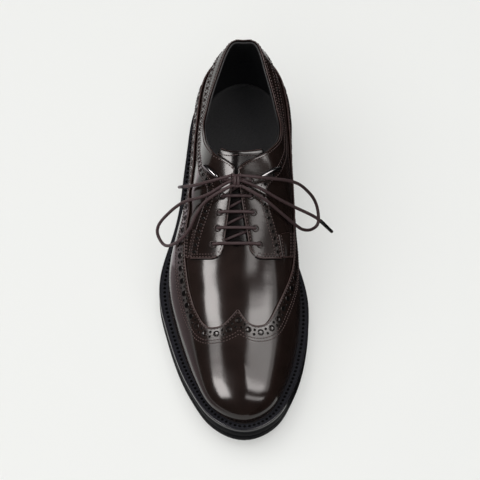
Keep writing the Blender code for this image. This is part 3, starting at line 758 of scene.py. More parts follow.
# %% The long wing
OVER = 0.35
PANEL = 1.0
WING_START = 0.02
TIP_SHARE = 0.4
rows = np.linspace(0, 1, 17)
u = np.linspace(0, 1, 41)[:, None]
wing_grids = []
for side in SIDES:
    loops = on_side(np.linspace(0, WING_TURN, 61)[:, None], side)
    low = WING_START + rows * (wing_edge(loops) - WING_START)
    rear = leather_point(loops, low, OVER)
    rise = np.linspace(low[-1, -1], 1.0, 31)[1:]
    climb = (rise - rise[0] + 0.02) / (1.02 - rise[0])
    edge_rib = np.concatenate((np.full(len(rows), WING_TURN), front_rib[side](rise)))
    edge_share = np.concatenate((low[-1], rise))
    tip_share = np.concatenate((np.linspace(WING_START, TIP_SHARE, len(rows)),
                                TIP_SHARE + (1 - TIP_SHARE) * climb))
    loops = on_side(edge_rib + (LAST_RIB - edge_rib) * u, side)
    front = leather_point(loops, edge_share + (tip_share - edge_share) * u, OVER)
    wing_grids += [rear, front] if side < 0 else [front[::-1], rear[::-1]]
wing = sheet("long_wing", wing_grids, (calf, cut_edge), PANEL, True,
             tip=leather_point(LAST_RIB, 1.0, OVER))
declare(wing, "wing")

# %% [markdown]
# The facings overlap the vamp, which is what makes the shoe a derby. Their ribs crowd towards the
# front, so that the round corner comes out round.

# %% Facings with the collar band
CORNER_FROM = 8.2
for side, word in SIDES.items():
    corner = FACING_FRONT[side] - (FACING_FRONT[side] - CORNER_FROM) * np.linspace(1, 0, 36) ** 2
    numbers = np.concatenate((ribs_between((FACING_BACK, 6.6, 46), (6.6, CORNER_FROM, 22)), corner[1:]))
    loops = along_side(numbers, side)[:, None]
    low = facing_low(loops)
    high = np.minimum(facing_high(loops), upper_edge(loops) - 0.004)
    spots = leather_point(loops, low + np.linspace(0, 1, 15) * (high - low), OVER)
    facing = sheet(f"facing_{word}_leather", [spots], (facing_calf[side], cut_edge), PANEL, True)
    declare(facing, f"facing_{word}")

# %% [markdown]
# At its outer front corner each facing ends in a small tab that is stitched down between the eyestay
# and the wing. It is a patch between two stretches of those edges.

# %% Tabs of the facings
Tab = namedtuple("Tab", "wing_from wing_to band_from band_to")
TABS = {-1: Tab(7.36, 8.14, 7.70, 8.26), 1: Tab(6.98, 7.82, 7.80, 8.26)}
TAB_THICK = 0.95


def tab_place(side, down, across):
    """Loop and share on the tab between the wing and the eyestay."""
    tab = TABS[side]
    outer = tab.wing_from + (tab.wing_to - tab.wing_from) * down
    inner = tab.band_from + (tab.band_to - tab.band_from) * down
    low = wing_edge(on_side(outer, side)) + PANEL_STEP
    high = facing_low(on_side(inner, side)) - PANEL_STEP / 2
    return on_side(outer + (inner - outer) * across, side), low + (high - low) * across


for side, word in SIDES.items():
    down = np.linspace(0, 1, 21)[::-side, None]
    spots = leather_point(*tab_place(side, down, np.linspace(0, 1, 9)), OVER)
    tab = sheet(f"facing_tab_{word}", [spots], (calf, cut_edge), TAB_THICK, True)
    declare(tab)

# %% [markdown]
# The backstay covers the seam at the heel. It widens upwards and lies a little higher than the collar
# bands, whose ends it hides.

# %% Backstay
BACKSTAY_HALF = 0.48
BACKSTAY_WIDENS = 0.2
BACKSTAY_LIFT = 0.35


def backstay_half(rise):
    return BACKSTAY_HALF + BACKSTAY_WIDENS * rise


rise = np.linspace(0, 1, 15)
loops = np.linspace(-1, 1, 17)[:, None] * backstay_half(rise)
low = wing_edge(loops) + 0.008
spots = leather_point(loops, low + rise * (0.998 - low), OVER + BACKSTAY_LIFT)
backstay = sheet("backstay_leather", [spots], (calf, cut_edge), PANEL, True)
declare(backstay, "backstay")

# %% [markdown]
# ## Tongue
# The tongue lies under the facings, a little below the inner face of the upper, and runs on
# straight above the lacing. It is read from the same surface, lowered by its depth.

# %% Tongue
TongueRow = namedtuple("TongueRow", "along depth half")
TONGUE = (
    TongueRow(115.0, 5.6, 16.5), TongueRow(117.0, 5.6, 18.0), TongueRow(122.0, 5.6, 18.5),
    TongueRow(132.0, 5.6, 18.5), TongueRow(150.0, 5.2, 18.5), TongueRow(168.0, 5.0, 18.0),
    TongueRow(186.0, 4.2, 17.0), TongueRow(197.0, 2.6, 16.0), TongueRow(206.0, 2.4, 14.0),
)
TONGUE_FREE = 133.0
TONGUE_LEAD = 4.0
TONGUE_THICK = 2.0
tongue_depth = monotone(TONGUE, "along", "depth")
tongue_half = monotone(TONGUE, "along", "half")


def tongue_point(along, sideways):
    """Place on the tongue; above the lacing it runs on in its last direction."""
    held = np.maximum(along, TONGUE_FREE)
    side = np.where(sideways < 0, -1, 1)
    spot = facing_spot(held, side, np.abs(sideways), -tongue_depth(held))[0]
    lead = np.array((TONGUE_FREE, TONGUE_FREE + TONGUE_LEAD))
    first, second = facing_spot(lead, -1, 0.0, -tongue_depth(lead))[0]
    return spot + (held - along)[..., None] * (first - second) / TONGUE_LEAD


def tongue_grid(alongs, across):
    """Points of the tongue; its top edge runs straight, so its sides reach further back."""
    top = np.clip((132 - alongs) / 17, 0, 1)
    return tongue_point(alongs - 5.0 * top * across ** 2, across * tongue_half(alongs))


alongs = np.linspace(TONGUE[0].along, TONGUE[-1].along, 46)[None, :]
across = np.linspace(-1, 1, 25)[:, None]
spots = tongue_grid(alongs + 0 * across, across + 0 * alongs)
tongue = sheet("tongue_leather", [spots], (lining, cut_edge, tongue_calf_painted_shade), TONGUE_THICK, True, inside=2)
declare(tongue, "tongue")

# %% [markdown]
# ## Sole
# The sole is a rubber body with a fine groove round its side, and a separate heel block under it.
# Each could be cut from a block with Booleans. Here a short profile of its side is carried round the
# outline, and its top and bottom are grids on the same outline, welded along their common edge.

# %% Helpers for closed bodies
def welded(name, grids, materials, shades, sharp=35):
    """One closed body of several grids, each with the number of its material."""
    bm = bmesh.new()
    for points, shade in zip(grids, shades):
        made = lay_grid(bm, points)
        for face in {f for v in made for f in v.link_faces}:
            face.material_index = shade
    weld(bm)
    bmesh.ops.recalc_face_normals(bm, faces=bm.faces)
    mesh = smooth_mesh(name, bm, sharp)
    print(name, len(mesh.polygons), "faces")
    return new_object(name, mesh, materials)


def outline(loop, inset=0.0):
    return foot_point(loop, welt_out(loop) - inset)


def across_foot(numbers, edge, count):
    """Places between the lateral and the medial edge, heel to toe, with their share of the way."""
    w = np.linspace(0, 1, count)[None, :]
    lx, la = edge(numbers)
    mx, ma = edge(LOOP - numbers)
    x = lx[:, None] * (1 - w) + mx[:, None] * w
    return x, la[:, None] * (1 - w) + ma[:, None] * w, w


# %% Tread
TREAD_SCALE = 60.0
tread = finish("tread_rubber", (0.0085, 0.009, 0.0115), 0.62)
ridges = tread.node_tree.nodes.new("ShaderNodeTexWave")
ridges.bands_direction = "Y"
ridges.inputs["Scale"].default_value = TREAD_SCALE
ridges.inputs["Distortion"].default_value = 0.0
tread.node_tree.links.new(coordinates(tread), ridges.inputs["Vector"])
add_bump(tread, ridges.outputs["Fac"], 0.8, 0.0012)
print("tread finish:", tread.name)

# %% Outsole
SideStep = namedtuple("SideStep", "share inset")
SOLE_SIDE = (SideStep(0.0, 0.9), SideStep(0.05, 0.55), SideStep(0.12, 0.45), SideStep(0.42, 0.35),
             SideStep(0.45, 0.45), SideStep(0.465, 0.85), SideStep(0.535, 0.85), SideStep(0.55, 0.4),
             SideStep(0.58, 0.3), SideStep(0.88, 0.2), SideStep(0.95, 0.45), SideStep(1.0, 1.2))
WELT_THICK = 4.0
sole_ribs = np.linspace(0, LAST_RIB, 99)


def sole_top(along):
    return feather(along) - WELT_THICK - CLEARANCE


def sole_face(inset, count, height):
    x, a, _ = across_foot(sole_ribs, lambda loop: outline(loop, inset), count)
    return np.stack((x, a, height(a)), -1)


side = []
for step in SOLE_SIDE:
    x, a = outline(both_sides(sole_ribs), step.inset)
    side.append(np.stack((x, a, sole_top(a) + step.share * (under(a) - sole_top(a))), -1))
bottom = sole_face(SOLE_SIDE[-1].inset, 15, under)
top = sole_face(SOLE_SIDE[0].inset, 3, sole_top)
outsole = welded("rubber_outsole", (np.stack(side, 1), bottom, top), (rubber, tread), (0, 1, 1))
declare(outsole, "outsole")

# %% Heel block
HEEL_BREAST = 80.0
HEEL_SIDE = (SideStep(0.0, 0.8), SideStep(0.08, 0.4), SideStep(0.48, 0.65), SideStep(0.5, 0.75),
             SideStep(0.515, 1.15), SideStep(0.56, 1.15), SideStep(0.575, 0.75), SideStep(0.93, 0.9),
             SideStep(1.0, 1.5))


def breast(side):
    return float(bisect(lambda rib: outline(on_side(rib, side))[1] < HEEL_BREAST, 2.0, 6.0))


def between(first, last, axis):
    """Grid of nine rows from one line of points to another."""
    return np.stack([first * (1 - w) + last * w for w in np.linspace(0, 1, 9)], axis)


t = np.linspace(0, 1, 41)
ring = np.concatenate((-t[::-1] * breast(1), t[1:] * breast(-1)))
side = []
for step in HEEL_SIDE:
    x, a = outline(ring, step.inset)
    side.append(np.stack((x, a, (under(a) - CLEARANCE) * (1 - step.share)), -1))
side = np.stack(side, 1)
half = len(ring) // 2
bottom, top = (between(edge[:half + 1][::-1], edge[half:], 1) for edge in (side[:, -1], side[:, 0]))
front = between(side[0], side[-1], 0)
heel = welded("heel_block", (side, bottom, top, front), (rubber, tread), (0, 1, 1, 0))
declare(heel, "heel")

# %% [markdown]
# ## Welt
# The welt is the strip to which upper and sole are stitched. From the upper outwards it has a brown
# bead, a strip for the stitches, a smooth round rim and its underside. Each is a short section that is
# carried round the feather line: its width is a share of the welt's own, which changes along the foot.

# %% Welt
Lip = namedtuple("Lip", "out rise")
WELT_BEAD = (Lip(-0.2, -0.6), Lip(0.0, 0.10), Lip(0.05, 0.45), Lip(0.11, 0.45), Lip(0.16, 0.05),
             Lip(0.19, -0.55))
WELT_STRIP = (WELT_BEAD[-1], Lip(0.25, -0.50), Lip(0.50, -0.55), Lip(0.78, -0.40), Lip(0.85, -0.05))
WELT_RIM = (WELT_STRIP[-1], Lip(0.91, 0.05), Lip(0.96, -0.2), Lip(0.99, -0.7), Lip(1.0, -1.3),
            Lip(1.0, -2.4))
WELT_UNDER = (WELT_RIM[-1], Lip(1.0, -3.7), Lip(0.96, -4.1), Lip(-0.2, -4.1), WELT_BEAD[0])


def welt_line(loops, lip):
    """Line round the foot through one point of the welt's section."""
    x, a = foot_point(loops, lip.out * welt_out(loops))
    return np.stack((x, a, feather(a) + lip.rise), -1)


loops = both_sides(np.linspace(0, LAST_RIB, 181))
bands = [np.stack([welt_line(loops, lip) for lip in band], 1)
         for band in (WELT_BEAD, WELT_STRIP, WELT_RIM, WELT_UNDER)]
welt = welded("welt_strip", bands, (welt_bead, welt_rubber, welt_rim, rubber), range(4), 60)
declare(welt, "welt")

# %% [markdown]
# ## Sock
# Inside lies a thin charcoal sock on the insole. Its edge turns up a little against the lining, and
# its heel is padded.

# %% Sock
SOCK_INSET = 2.3
SOCK_THICK = 1.4
PAD_HIGH = 3.0
PAD_FRONT = 95.0
PAD_RUN = 50.0
x, a, w = across_foot(np.linspace(0, LAST_RIB, 91), lambda loop: foot_point(loop, -SOCK_INSET), 21)
cup = np.abs(2 * w - 1) ** 6 * 0.9
back = np.clip((PAD_FRONT - a) / PAD_RUN, 0, 1)
pad = PAD_HIGH * back ** 2 * (3 - 2 * back)
spots = np.stack((x, a, feather(a) + 1.0 + cup + pad), -1)
insole = sheet("sock_and_insole", [spots], (sock,), SOCK_THICK, False, levels=0, rim=0)
declare(insole, "insole")

# %% [markdown]
# ## Stitches and punched holes
# Rows of stitches and holes follow the cut edges at a fixed distance. The distance is walked on the
# surface itself, so that a row stays parallel to its edge round every bend. One stitch is a small
# stretched ball and one hole a round punch with a soft rim. Both are set down along the row.

# %% Walking a distance from an edge
STRIDE = 0.5


def walk(loop, share, distance, upwards):
    """Moves a curve on the last sideways, up the ribs or down them."""
    loop = np.array(loop, float)
    share = np.array(share, float)
    steps = max(int(math.ceil(distance / STRIDE)), 1)
    run = unit(np.gradient(last_point(loop, share), axis=0))
    for _ in range(steps):
        across, rise = last_axes(loop, share)
        sideways = unit(np.cross(unit(np.cross(rise, across)), run))
        sideways = sideways * np.sign(np.sum(sideways * rise)) * (1 if upwards else -1)
        aa = np.sum(across * across, -1)
        rr = np.sum(rise * rise, -1)
        ar = np.sum(across * rise, -1)
        sa = np.sum(sideways * across, -1)
        sr = np.sum(sideways * rise, -1)
        det = aa * rr - ar * ar
        loop = loop + (sa * rr - sr * ar) / det * distance / steps
        share = share + (sr * aa - sa * ar) / det * distance / steps
    return loop, share


# %% Even rows
Row = namedtuple("Row", "spot normal run")
GLANCE = 0.3


def run_along(line):
    return np.concatenate(([0], np.cumsum(np.linalg.norm(np.diff(line, axis=0), axis=-1))))


def points_at(marks, length, line):
    return np.stack([np.interp(marks, length, line[:, k]) for k in range(3)], -1)


def even_row(loop, share, offset, pitch, start=0.5, spare=0.0, extra=0):
    """Evenly spaced places along a curve on the last; spare steps stay free at its end."""
    length = run_along(last_point(loop, share))
    count = max(int(round(length[-1] / pitch - spare)), 1)
    marks = (np.arange(count + extra) + start) * length[-1] / (count + spare)

    def at(shift):
        return np.interp(marks + shift, length, loop), np.interp(marks + shift, length, share)

    normal = last_normal(*at(0.0))
    run = unit(last_point(*at(GLANCE)) - last_point(*at(-GLANCE)))
    return Row(last_point(*at(0.0)) + offset * normal, normal, run)


# %% Setting a shape down, sewing and punching
WING_TOP = OVER + PANEL
SKIN = 0.05
PITCH = 2.3
GROOVE_DEPTH = 0.14
GROOVE_STEP = 1.5
STITCHES = {"brown": [], "black": []}
GROOVE_SHADES = []
PUNCHES = []
BIG_HOLE = 2.05
SMALL_HOLE = 1.15
PIN_HOLE = 0.88
SHINY_FROM = 222.0


def turned(spot, normal, run, sizes):
    """Matrix that sets a shape down: its X along the row, its Z off the leather."""
    z = Vector(place_direction(normal)).normalized()
    x = Vector(place_direction(run))
    x = (x - z * x.dot(z)).normalized()
    rotation = Matrix((x, z.cross(x), z)).transposed().to_4x4()
    return Matrix.Translation(Vector(place(spot))) @ rotation @ Matrix.Diagonal((*sizes, 1.0))


def sew(colour, row, length, thick):
    bm = bmesh.new()
    size = (0.5 * length * MM, 0.5 * thick * MM, 0.45 * thick * MM)
    lying = Matrix.Rotation(math.pi / 2, 4, "Y")
    for spot, normal, run in zip(*row):
        bmesh.ops.create_uvsphere(bm, u_segments=6, v_segments=4, radius=1.0,
                                  matrix=turned(spot, normal, run, size) @ lying)
    STITCHES[colour].append(smooth_mesh("stitch_row", bm))


def seam(loop, share, pitch=PITCH, lift=0.0, thick=0.9):
    """Row of brown stitches over a thin dark line that is painted shade for the channel they sink in."""
    sew("brown", even_row(loop, share, WING_TOP + SKIN + lift, pitch), 0.64 * pitch, thick)
    GROOVE_SHADES.append(even_row(loop, share, WING_TOP - GROOVE_DEPTH + lift, GROOVE_STEP).spot)


def punch(row, radius, across=0.0):
    """Round punched holes; across moves them sideways from the row."""
    for spot, normal, run in zip(*row):
        aside = across * np.cross(normal, run)
        shiny = radius == BIG_HOLE and spot[1] > SHINY_FROM
        PUNCHES.append((turned(spot + aside, normal, run, (radius * MM,) * 3), shiny))


# %% [markdown]
# The wing has one row of stitches at its edge, then big holes with pairs of pinholes between them, and
# two more rows below. The rows of both sides bend a little so that they meet on the ridge. A thin roll
# along the cut edge catches the light as a folded edge does.

# %% Rows of the wing
WING_ROWS = {}
EDGE_ROLL = 0.3
WING_SEAMS = (1.3, 10.0, 12.3)
WING_HOLES = 5.4
HOLE_PITCH = 9.6
PIN_ASIDE = 1.75
ROLL_SINK = 0.18
ROLL_STEP = 1.2
MEET_FROM = 0.75
ROLLS = []
for side in SIDES:
    behind = np.linspace(0, WING_TURN, 260, endpoint=False)
    rise = np.linspace(FRONT_LATERAL[0].share, 1.0, 260)
    loops = on_side(np.concatenate((behind, front_rib[side](rise))), side)
    edge = np.concatenate((wing_edge(loops[:len(behind)]), rise))
    for distance in (EDGE_ROLL, *WING_SEAMS, WING_HOLES):
        loop, share = walk(loops, edge, distance, False)
        keep = (share < 0.999) & (share > 0.03)
        WING_ROWS[side, distance] = rib_number(loop[keep][::-1]), share[keep][::-1]


def wing_row(side, distance):
    """Row at a distance below the edge of the wing; the rows of both sides meet on the ridge."""
    number, share = WING_ROWS[side, distance]
    meet = (WING_ROWS[-1, distance][0][0] + WING_ROWS[1, distance][0][0]) / 2
    number = number + (meet - number[0]) * np.clip((share - MEET_FROM) / (1 - MEET_FROM), 0, 1) ** 2
    return on_side(number, side), share


def roll(loop, share):
    ROLLS.append(even_row(loop, share, WING_TOP - ROLL_SINK, ROLL_STEP).spot)


# %% Stitches and holes of the wing
PEAK_BELOW = 8.6
for side in SIDES:
    for distance in WING_SEAMS:
        seam(*wing_row(side, distance))
    roll(*wing_row(side, EDGE_ROLL))
    holes = wing_row(side, WING_HOLES)
    punch(even_row(*holes, WING_TOP + SKIN, HOLE_PITCH, 1.0, 0.5), BIG_HOLE)
    pairs = even_row(*holes, WING_TOP + SKIN, HOLE_PITCH, 0.5, 0.5, int(side < 0))
    for aside in (PIN_ASIDE, -PIN_ASIDE):
        punch(pairs, PIN_HOLE, aside)
peak = np.array([rib_at_top(top_along(WING_POINT) + PEAK_BELOW)])
ridge = last_normal(peak, np.array([1.0]))
spot = last_point(peak, np.array([1.0])) + (WING_TOP + SKIN) * ridge
punch(Row(spot, ridge, np.array([[1.0, 0.0, 0.0]])), BIG_HOLE)
print("holes of the wing:", len(PUNCHES))

# %% [markdown]
# The facings have two rows and small holes along the collar band, two rows at the front edge, and one
# row each beside the opening and under the top line. A dark line lies in the corner under the front
# edge as a painted shadow, where a real overlap throws a narrow shadow.

# %% Rows of the facings
BAND_SEAMS = (1.0, 5.8)
BAND_HOLES = 3.4
BAND_PITCH = 5.2
FRONT_SEAMS = (1.3, 3.2)
FRONT_ROLL = 0.35
THROAT_SEAM = 1.9
THROAT_PITCH = 2.6
THROAT_THICK = 0.95
THROAT_ROLL = 0.6
THROAT_FROM = 7.02
COLLAR_SEAM = 2.1
COLLAR_TO = 6.95
TAB_SEAMS = (0.12, 0.34, 0.88)
SHADOWS = []


def facing_row(loops, edge, distance, upwards):
    """Row at a distance from an edge of a facing, as far as it lies on the facing."""
    loop, share = walk(loops, edge, distance, upwards)
    margin = 0.003 * distance
    keep = (share > facing_low(loop) + margin) & (share < upper_edge(loop) - margin)
    keep = keep & (front_reach(loop, share) < -0.6 * distance)
    return loop[keep], share[keep]


for side in SIDES:
    numbers = FACING_FRONT[side] - (FACING_FRONT[side] - FACING_BACK) * np.linspace(1, 0, 700) ** 2
    loops = on_side(numbers, side)
    low = facing_low(loops)
    high = facing_high(loops)
    on_band = low <= band_edge(loops) + 1e-4
    band = loops[on_band], low[on_band]
    front = loops[~on_band], low[~on_band]
    throat = loops[numbers > THROAT_FROM], high[numbers > THROAT_FROM]
    collar = loops[numbers < COLLAR_TO], high[numbers < COLLAR_TO]
    for distance in BAND_SEAMS:
        seam(*facing_row(*band, distance, True))
    punch(even_row(*facing_row(*band, BAND_HOLES, True), WING_TOP + SKIN, BAND_PITCH), SMALL_HOLE)
    for distance in FRONT_SEAMS:
        seam(*facing_row(*front, distance, True))
    roll(*facing_row(*front, FRONT_ROLL, True))
    SHADOWS.append(even_row(*walk(*front, 0.5, False), 0.1, ROLL_STEP).spot)
    seam(*facing_row(*throat, THROAT_SEAM, False), THROAT_PITCH, 0.0, THROAT_THICK)
    roll(*facing_row(*throat, THROAT_ROLL, False))
    seam(*facing_row(*collar, COLLAR_SEAM, False))
    for across in TAB_SEAMS:
        seam(*tab_place(side, np.linspace(0.02, 0.98, 60), across))
    roll(*tab_place(side, 0.98, np.linspace(0, 1, 30)))
print("rows sewn so far:", len(STITCHES["brown"]))

# %% [markdown]
# Two rows hold the backstay, one runs under the tongue's top edge, and the thick black stitches of
# the welt lie on its strip, all the way round.

# %% Rows of the backstay and the tongue
BACKSTAY_SEAM = 0.08
TONGUE_SEAM = 118.0
TONGUE_RISES = (0.0, 0.83, -0.55)
for side in SIDES:
    rise = np.linspace(0.03, 0.97, 60)
    loop = side * (backstay_half(rise) - BACKSTAY_SEAM)
    seam(np.mod(loop, LOOP), wing_edge(loop) + rise * (1 - wing_edge(loop)), PITCH, BACKSTAY_LIFT)
edge = tongue_grid(np.full(19, TONGUE_SEAM), np.linspace(-0.9, 0.9, 19))
run = np.gradient(edge, axis=0)
face = unit(np.cross(run, TONGUE_RISES))
face = face * np.sign(face[:, 2:3])
sew("brown", Row(edge + (TONGUE_THICK + SKIN) * face, face, unit(run)), 1.7, 0.6)
print("brown rows:", len(STITCHES["brown"]))

# %% Welt stitches on their strip
WELT_PITCH = 3.6
WELT_STITCH = 2.3
WELT_SEAM = Lip(0.52, -0.5)
line = welt_line(both_sides(np.linspace(0, LAST_RIB, 900)), WELT_SEAM)
length = run_along(line)
marks = (np.arange(int(length[-1] / WELT_PITCH)) + 0.5) * WELT_PITCH
spots = points_at(marks, length, line)
ahead = points_at(marks + 0.5, length, line)
upright = np.tile((0.0, 0.0, 1.0), (len(spots), 1))
sew("black", Row(spots, upright, unit(ahead - spots)), WELT_STITCH, WELT_STITCH)
print("welt stitches:", len(spots))

# %% [markdown]
# All stitches of one thread become one piece. Thousands of objects would be slow, and a maker also
# counts thread by the seam.

# %% Threads become two pieces
for colour, material, slot in (("brown", thread, "leather"), ("black", welt_thread, "rubber")):
    bm = bmesh.new()
    for mesh in STITCHES[colour]:
        bm.from_mesh(mesh)
        bpy.data.meshes.remove(mesh)
    stitches = new_object(f"{colour}_stitches", smooth_mesh(f"{colour}_stitches", bm), (material,))
    declare(stitches)
    print(stitches.name, len(stitches.data.polygons), "faces")

# %% [markdown]
# A punched hole has a soft raised rim of leather, a wall and a floor. Wall and floor are painted near
# black as the shade inside a hole. Cutting hundreds of holes with Booleans would break the smooth
# panels, so each hole is a small disc that is inset four times and set down on the leather. In the
# larger holes near the toe the floor is polished calf and shines, and only the wall is painted dark.

# %% Punched holes
RIM_STEPS = ((0.12, 0.12), (0.10, 0.03))
WALL_STEPS = ((0.16, -0.07), (0.24, -0.06))
HOLE_RIM = 1.24


def inset(bm, faces, steps):
    for thickness, depth in steps:
        bmesh.ops.inset_region(bm, faces=faces, use_boundary=True, thickness=thickness, depth=depth)


def hole_template(name, shiny):
    bm = bmesh.new()
    bmesh.ops.create_circle(bm, cap_ends=True, segments=14, radius=HOLE_RIM)
    middle = list(bm.faces)
    inset(bm, middle, RIM_STEPS)
    rim = [face for face in bm.faces if face not in middle]
    inset(bm, middle, WALL_STEPS)
    # Rim and shiny floors are calf; the rest takes the near black of painted shade.
    for face in bm.faces:
        face.material_index = 0 if face in rim or (shiny and face in middle) else 1
    return smooth_mesh(name, bm)


templates = {False: hole_template("dark_hole", False), True: hole_template("shiny_hole", True)}
bm = bmesh.new()
for matrix, shiny in PUNCHES:
    first = len(bm.verts)
    bm.from_mesh(templates[shiny])
    bm.verts.ensure_lookup_table()
    bmesh.ops.transform(bm, matrix=matrix, verts=bm.verts[first:])
for template in templates.values():
    bpy.data.meshes.remove(template)
holes = new_object("punched_holes", smooth_mesh("punched_holes", bm), (calf, punched))
declare(holes)
print("holes:", len(PUNCHES))

# %% [markdown]
# ## Eyelets
# The eyelets are small rolled rings: a circle spun round the hole. They lie closer together towards the
# top, where the opening narrows.

# %% Eyelets
EyeletRow = namedtuple("EyeletRow", "top half")
EYELETS = (EyeletRow(176.0, 15.6), EyeletRow(166.0, 12.6), EyeletRow(156.0, 11.2),
           EyeletRow(146.0, 9.4), EyeletRow(136.0, 8.6))
EYELET_RADIUS = 2.2 * MM
EYELET_WIRE = 0.6 * MM
EYELET_LIFT = 0.35


def eyelet_ring(name, spot, normal):
    bm = bmesh.new()
    standing = Matrix.Translation((EYELET_RADIUS, 0, 0)) @ Matrix.Rotation(math.pi / 2, 4, "X")
    bmesh.ops.create_circle(bm, segments=10, radius=EYELET_WIRE, matrix=standing)
    bmesh.ops.spin(bm, geom=bm.verts[:] + bm.edges[:], cent=(0, 0, 0), axis=(0, 0, 1), dvec=(0, 0, 0),
                   angle=2 * math.pi, steps=28, use_merge=True)
    bmesh.ops.remove_doubles(bm, verts=bm.verts, dist=WELD / 2)
    bmesh.ops.recalc_face_normals(bm, faces=bm.faces)
    bm.transform(turned(spot, normal, (1.0, 0.0, 0.0), (1.0, 1.0, 1.0)))
    return new_object(name, smooth_mesh(name, bm), (eyelet_dark,))


for number, row in enumerate(EYELETS, 1):
    for side, word in SIDES.items():
        spot, normal = facing_spot(row.top, side, row.half, WING_TOP + EYELET_LIFT)
        eyelet = eyelet_ring(f"eyelet_ring_{word}_{number}", spot, normal)
        declare(eyelet, f"eyelet_{word}_{number}")
print("eyelets:", 2 * len(EYELETS))

# %% [markdown]
# ## Laces
# The lace is one round waxed cord. A swept circle suits it: a curve with a round bevel, through points
# that a smooth route spaces evenly. The same helper makes the rolled edges, the dark lines of painted
# shade under the stitches and under the front edges, and the keepers.

# %% Cord helpers
LACE_RADIUS = 1.2
ROUTE_STEPS = 24


def smooth_route(points, spacing):
    """Evenly spaced points on a Catmull-Rom curve."""
    p = [np.array(q, float) for q in points]
    p = [2 * p[0] - p[1]] + p + [2 * p[-1] - p[-2]]
    dense = []
    for a, b, c, d in zip(p, p[1:], p[2:], p[3:]):
        for t in np.arange(ROUTE_STEPS) / ROUTE_STEPS:
            dense.append(0.5 * (2 * b + (c - a) * t + (2 * a - 5 * b + 4 * c - d) * t * t
                                + (3 * b - a - 3 * c + d) * t ** 3))
    dense = np.array(dense + [p[-2]])
    length = run_along(dense)
    marks = np.linspace(0, length[-1], max(int(round(length[-1] / spacing)), 2) + 1)
    return points_at(marks, length, dense)


def round_line(name, routes, radius, cyclic=False, taper=None):
    """Curve through one or more routes of points in millimetres."""
    curve = bpy.data.curves.new(name, "CURVE")
    curve.dimensions = "3D"
    for route in routes:
        spline = curve.splines.new("POLY")
        spline.points.add(len(route) - 1)
        for i, point in enumerate(place(route)):
            spline.points[i].co = (*point, 1.0)
            spline.points[i].radius = 1.0 if taper is None else taper(i / (len(route) - 1))
        spline.use_cyclic_u = cyclic
        spline.use_smooth = True
    curve.bevel_depth = radius * MM
    curve.bevel_resolution = 3
    curve.use_fill_caps = not cyclic
    return curve


def lace(name, routes, radius=LACE_RADIUS, cyclic=False):
    return new_object(name, round_line(name, routes, radius, cyclic), (waxed_lace,))


# %% Rolled edges, and the painted shade under the stitches and the front edges
for name, routes, material, radius in (("rolled_edges", ROLLS, cut_edge, 0.42),
                                       ("seam_groove_shades", GROOVE_SHADES, groove_shade, 0.2),
                                       ("edge_shadows", SHADOWS, groove_shade, 0.5)):
    curve = round_line(name, routes, radius)
    curve.bevel_resolution = 1
    holder = bpy.data.objects.new(name + "_curve", curve)
    mesh = bpy.data.meshes.new_from_object(holder)
    mesh.name = name
    bpy.data.objects.remove(holder)
    bpy.data.curves.remove(curve)
    mesh.shade_smooth()
    declare(new_object(name, mesh, (material,)))
    print(name, len(mesh.polygons), "faces")

# %% [markdown]
# The straight bars dip into the eyelets at both ends. Under the facings the lace climbs aslant from
# one row to the next, and these crossings show in the opening.

# %% Lace bars and the crossings under them
BAR_HEIGHT = WING_TOP + 1.6
CROSSING_DEPTH = 2.6
for number, row in enumerate(EYELETS, 1):
    dip = ((row.half, -1.5), (row.half - 0.35, WING_TOP + 1.2), (row.half - 2.6, BAR_HEIGHT),
           (float(half_gap(row.top)) + 1.2, BAR_HEIGHT))
    route = [facing_spot(row.top, -1, half, offset)[0] for half, offset in dip]
    route += [facing_spot(row.top, 1, half, offset)[0] for half, offset in dip[::-1]]
    bar = lace(f"lace_run_{number}", (smooth_route(route, 0.8),))
    declare(bar, f"lace_bar_{number}")
routes = []
for low, high in zip(EYELETS, EYELETS[1:]):
    first = facing_spot(low.top, -1, low.half, -CROSSING_DEPTH)[0]
    middle = facing_spot((low.top + high.top) / 2, -1, 0.0, 0.2 - CROSSING_DEPTH)[0]
    last = facing_spot(high.top, 1, high.half, -CROSSING_DEPTH)[0]
    routes.append(smooth_route((first, middle, last), 1.5))
declare(lace("lace_crossings", routes, 1.05))
print("lace bars:", len(EYELETS))

# %% [markdown]
# Beside the top eyelets lies a plain polished bar on each facing. It tapers to both ends like a
# spindle, so the curve's radius follows an ellipse.

# %% Keepers
KEEPER_TOP = 127.0
KEEPER_ASIDE = 18.5
KEEPER_HALF = 5.9
KEEPER_RADIUS = 1.9
KEEPER_TIP = 0.35


def spindle(t):
    return KEEPER_TIP + (1 - KEEPER_TIP) * math.sqrt(max(1 - (2 * t - 1) ** 2, 0.0))


for side, word in SIDES.items():
    reach = np.linspace(-1, 1, 25) * KEEPER_HALF
    spots = facing_spot(KEEPER_TOP - reach, side, KEEPER_ASIDE + reach, WING_TOP + 1.55)[0]
    curve = round_line(f"keeper_bar_{word}", (spots,), KEEPER_RADIUS, taper=spindle)
    declare(new_object(curve.name, curve, (gunmetal,)), f"keeper_{word}")
    print(curve.name, len(spots), "points")
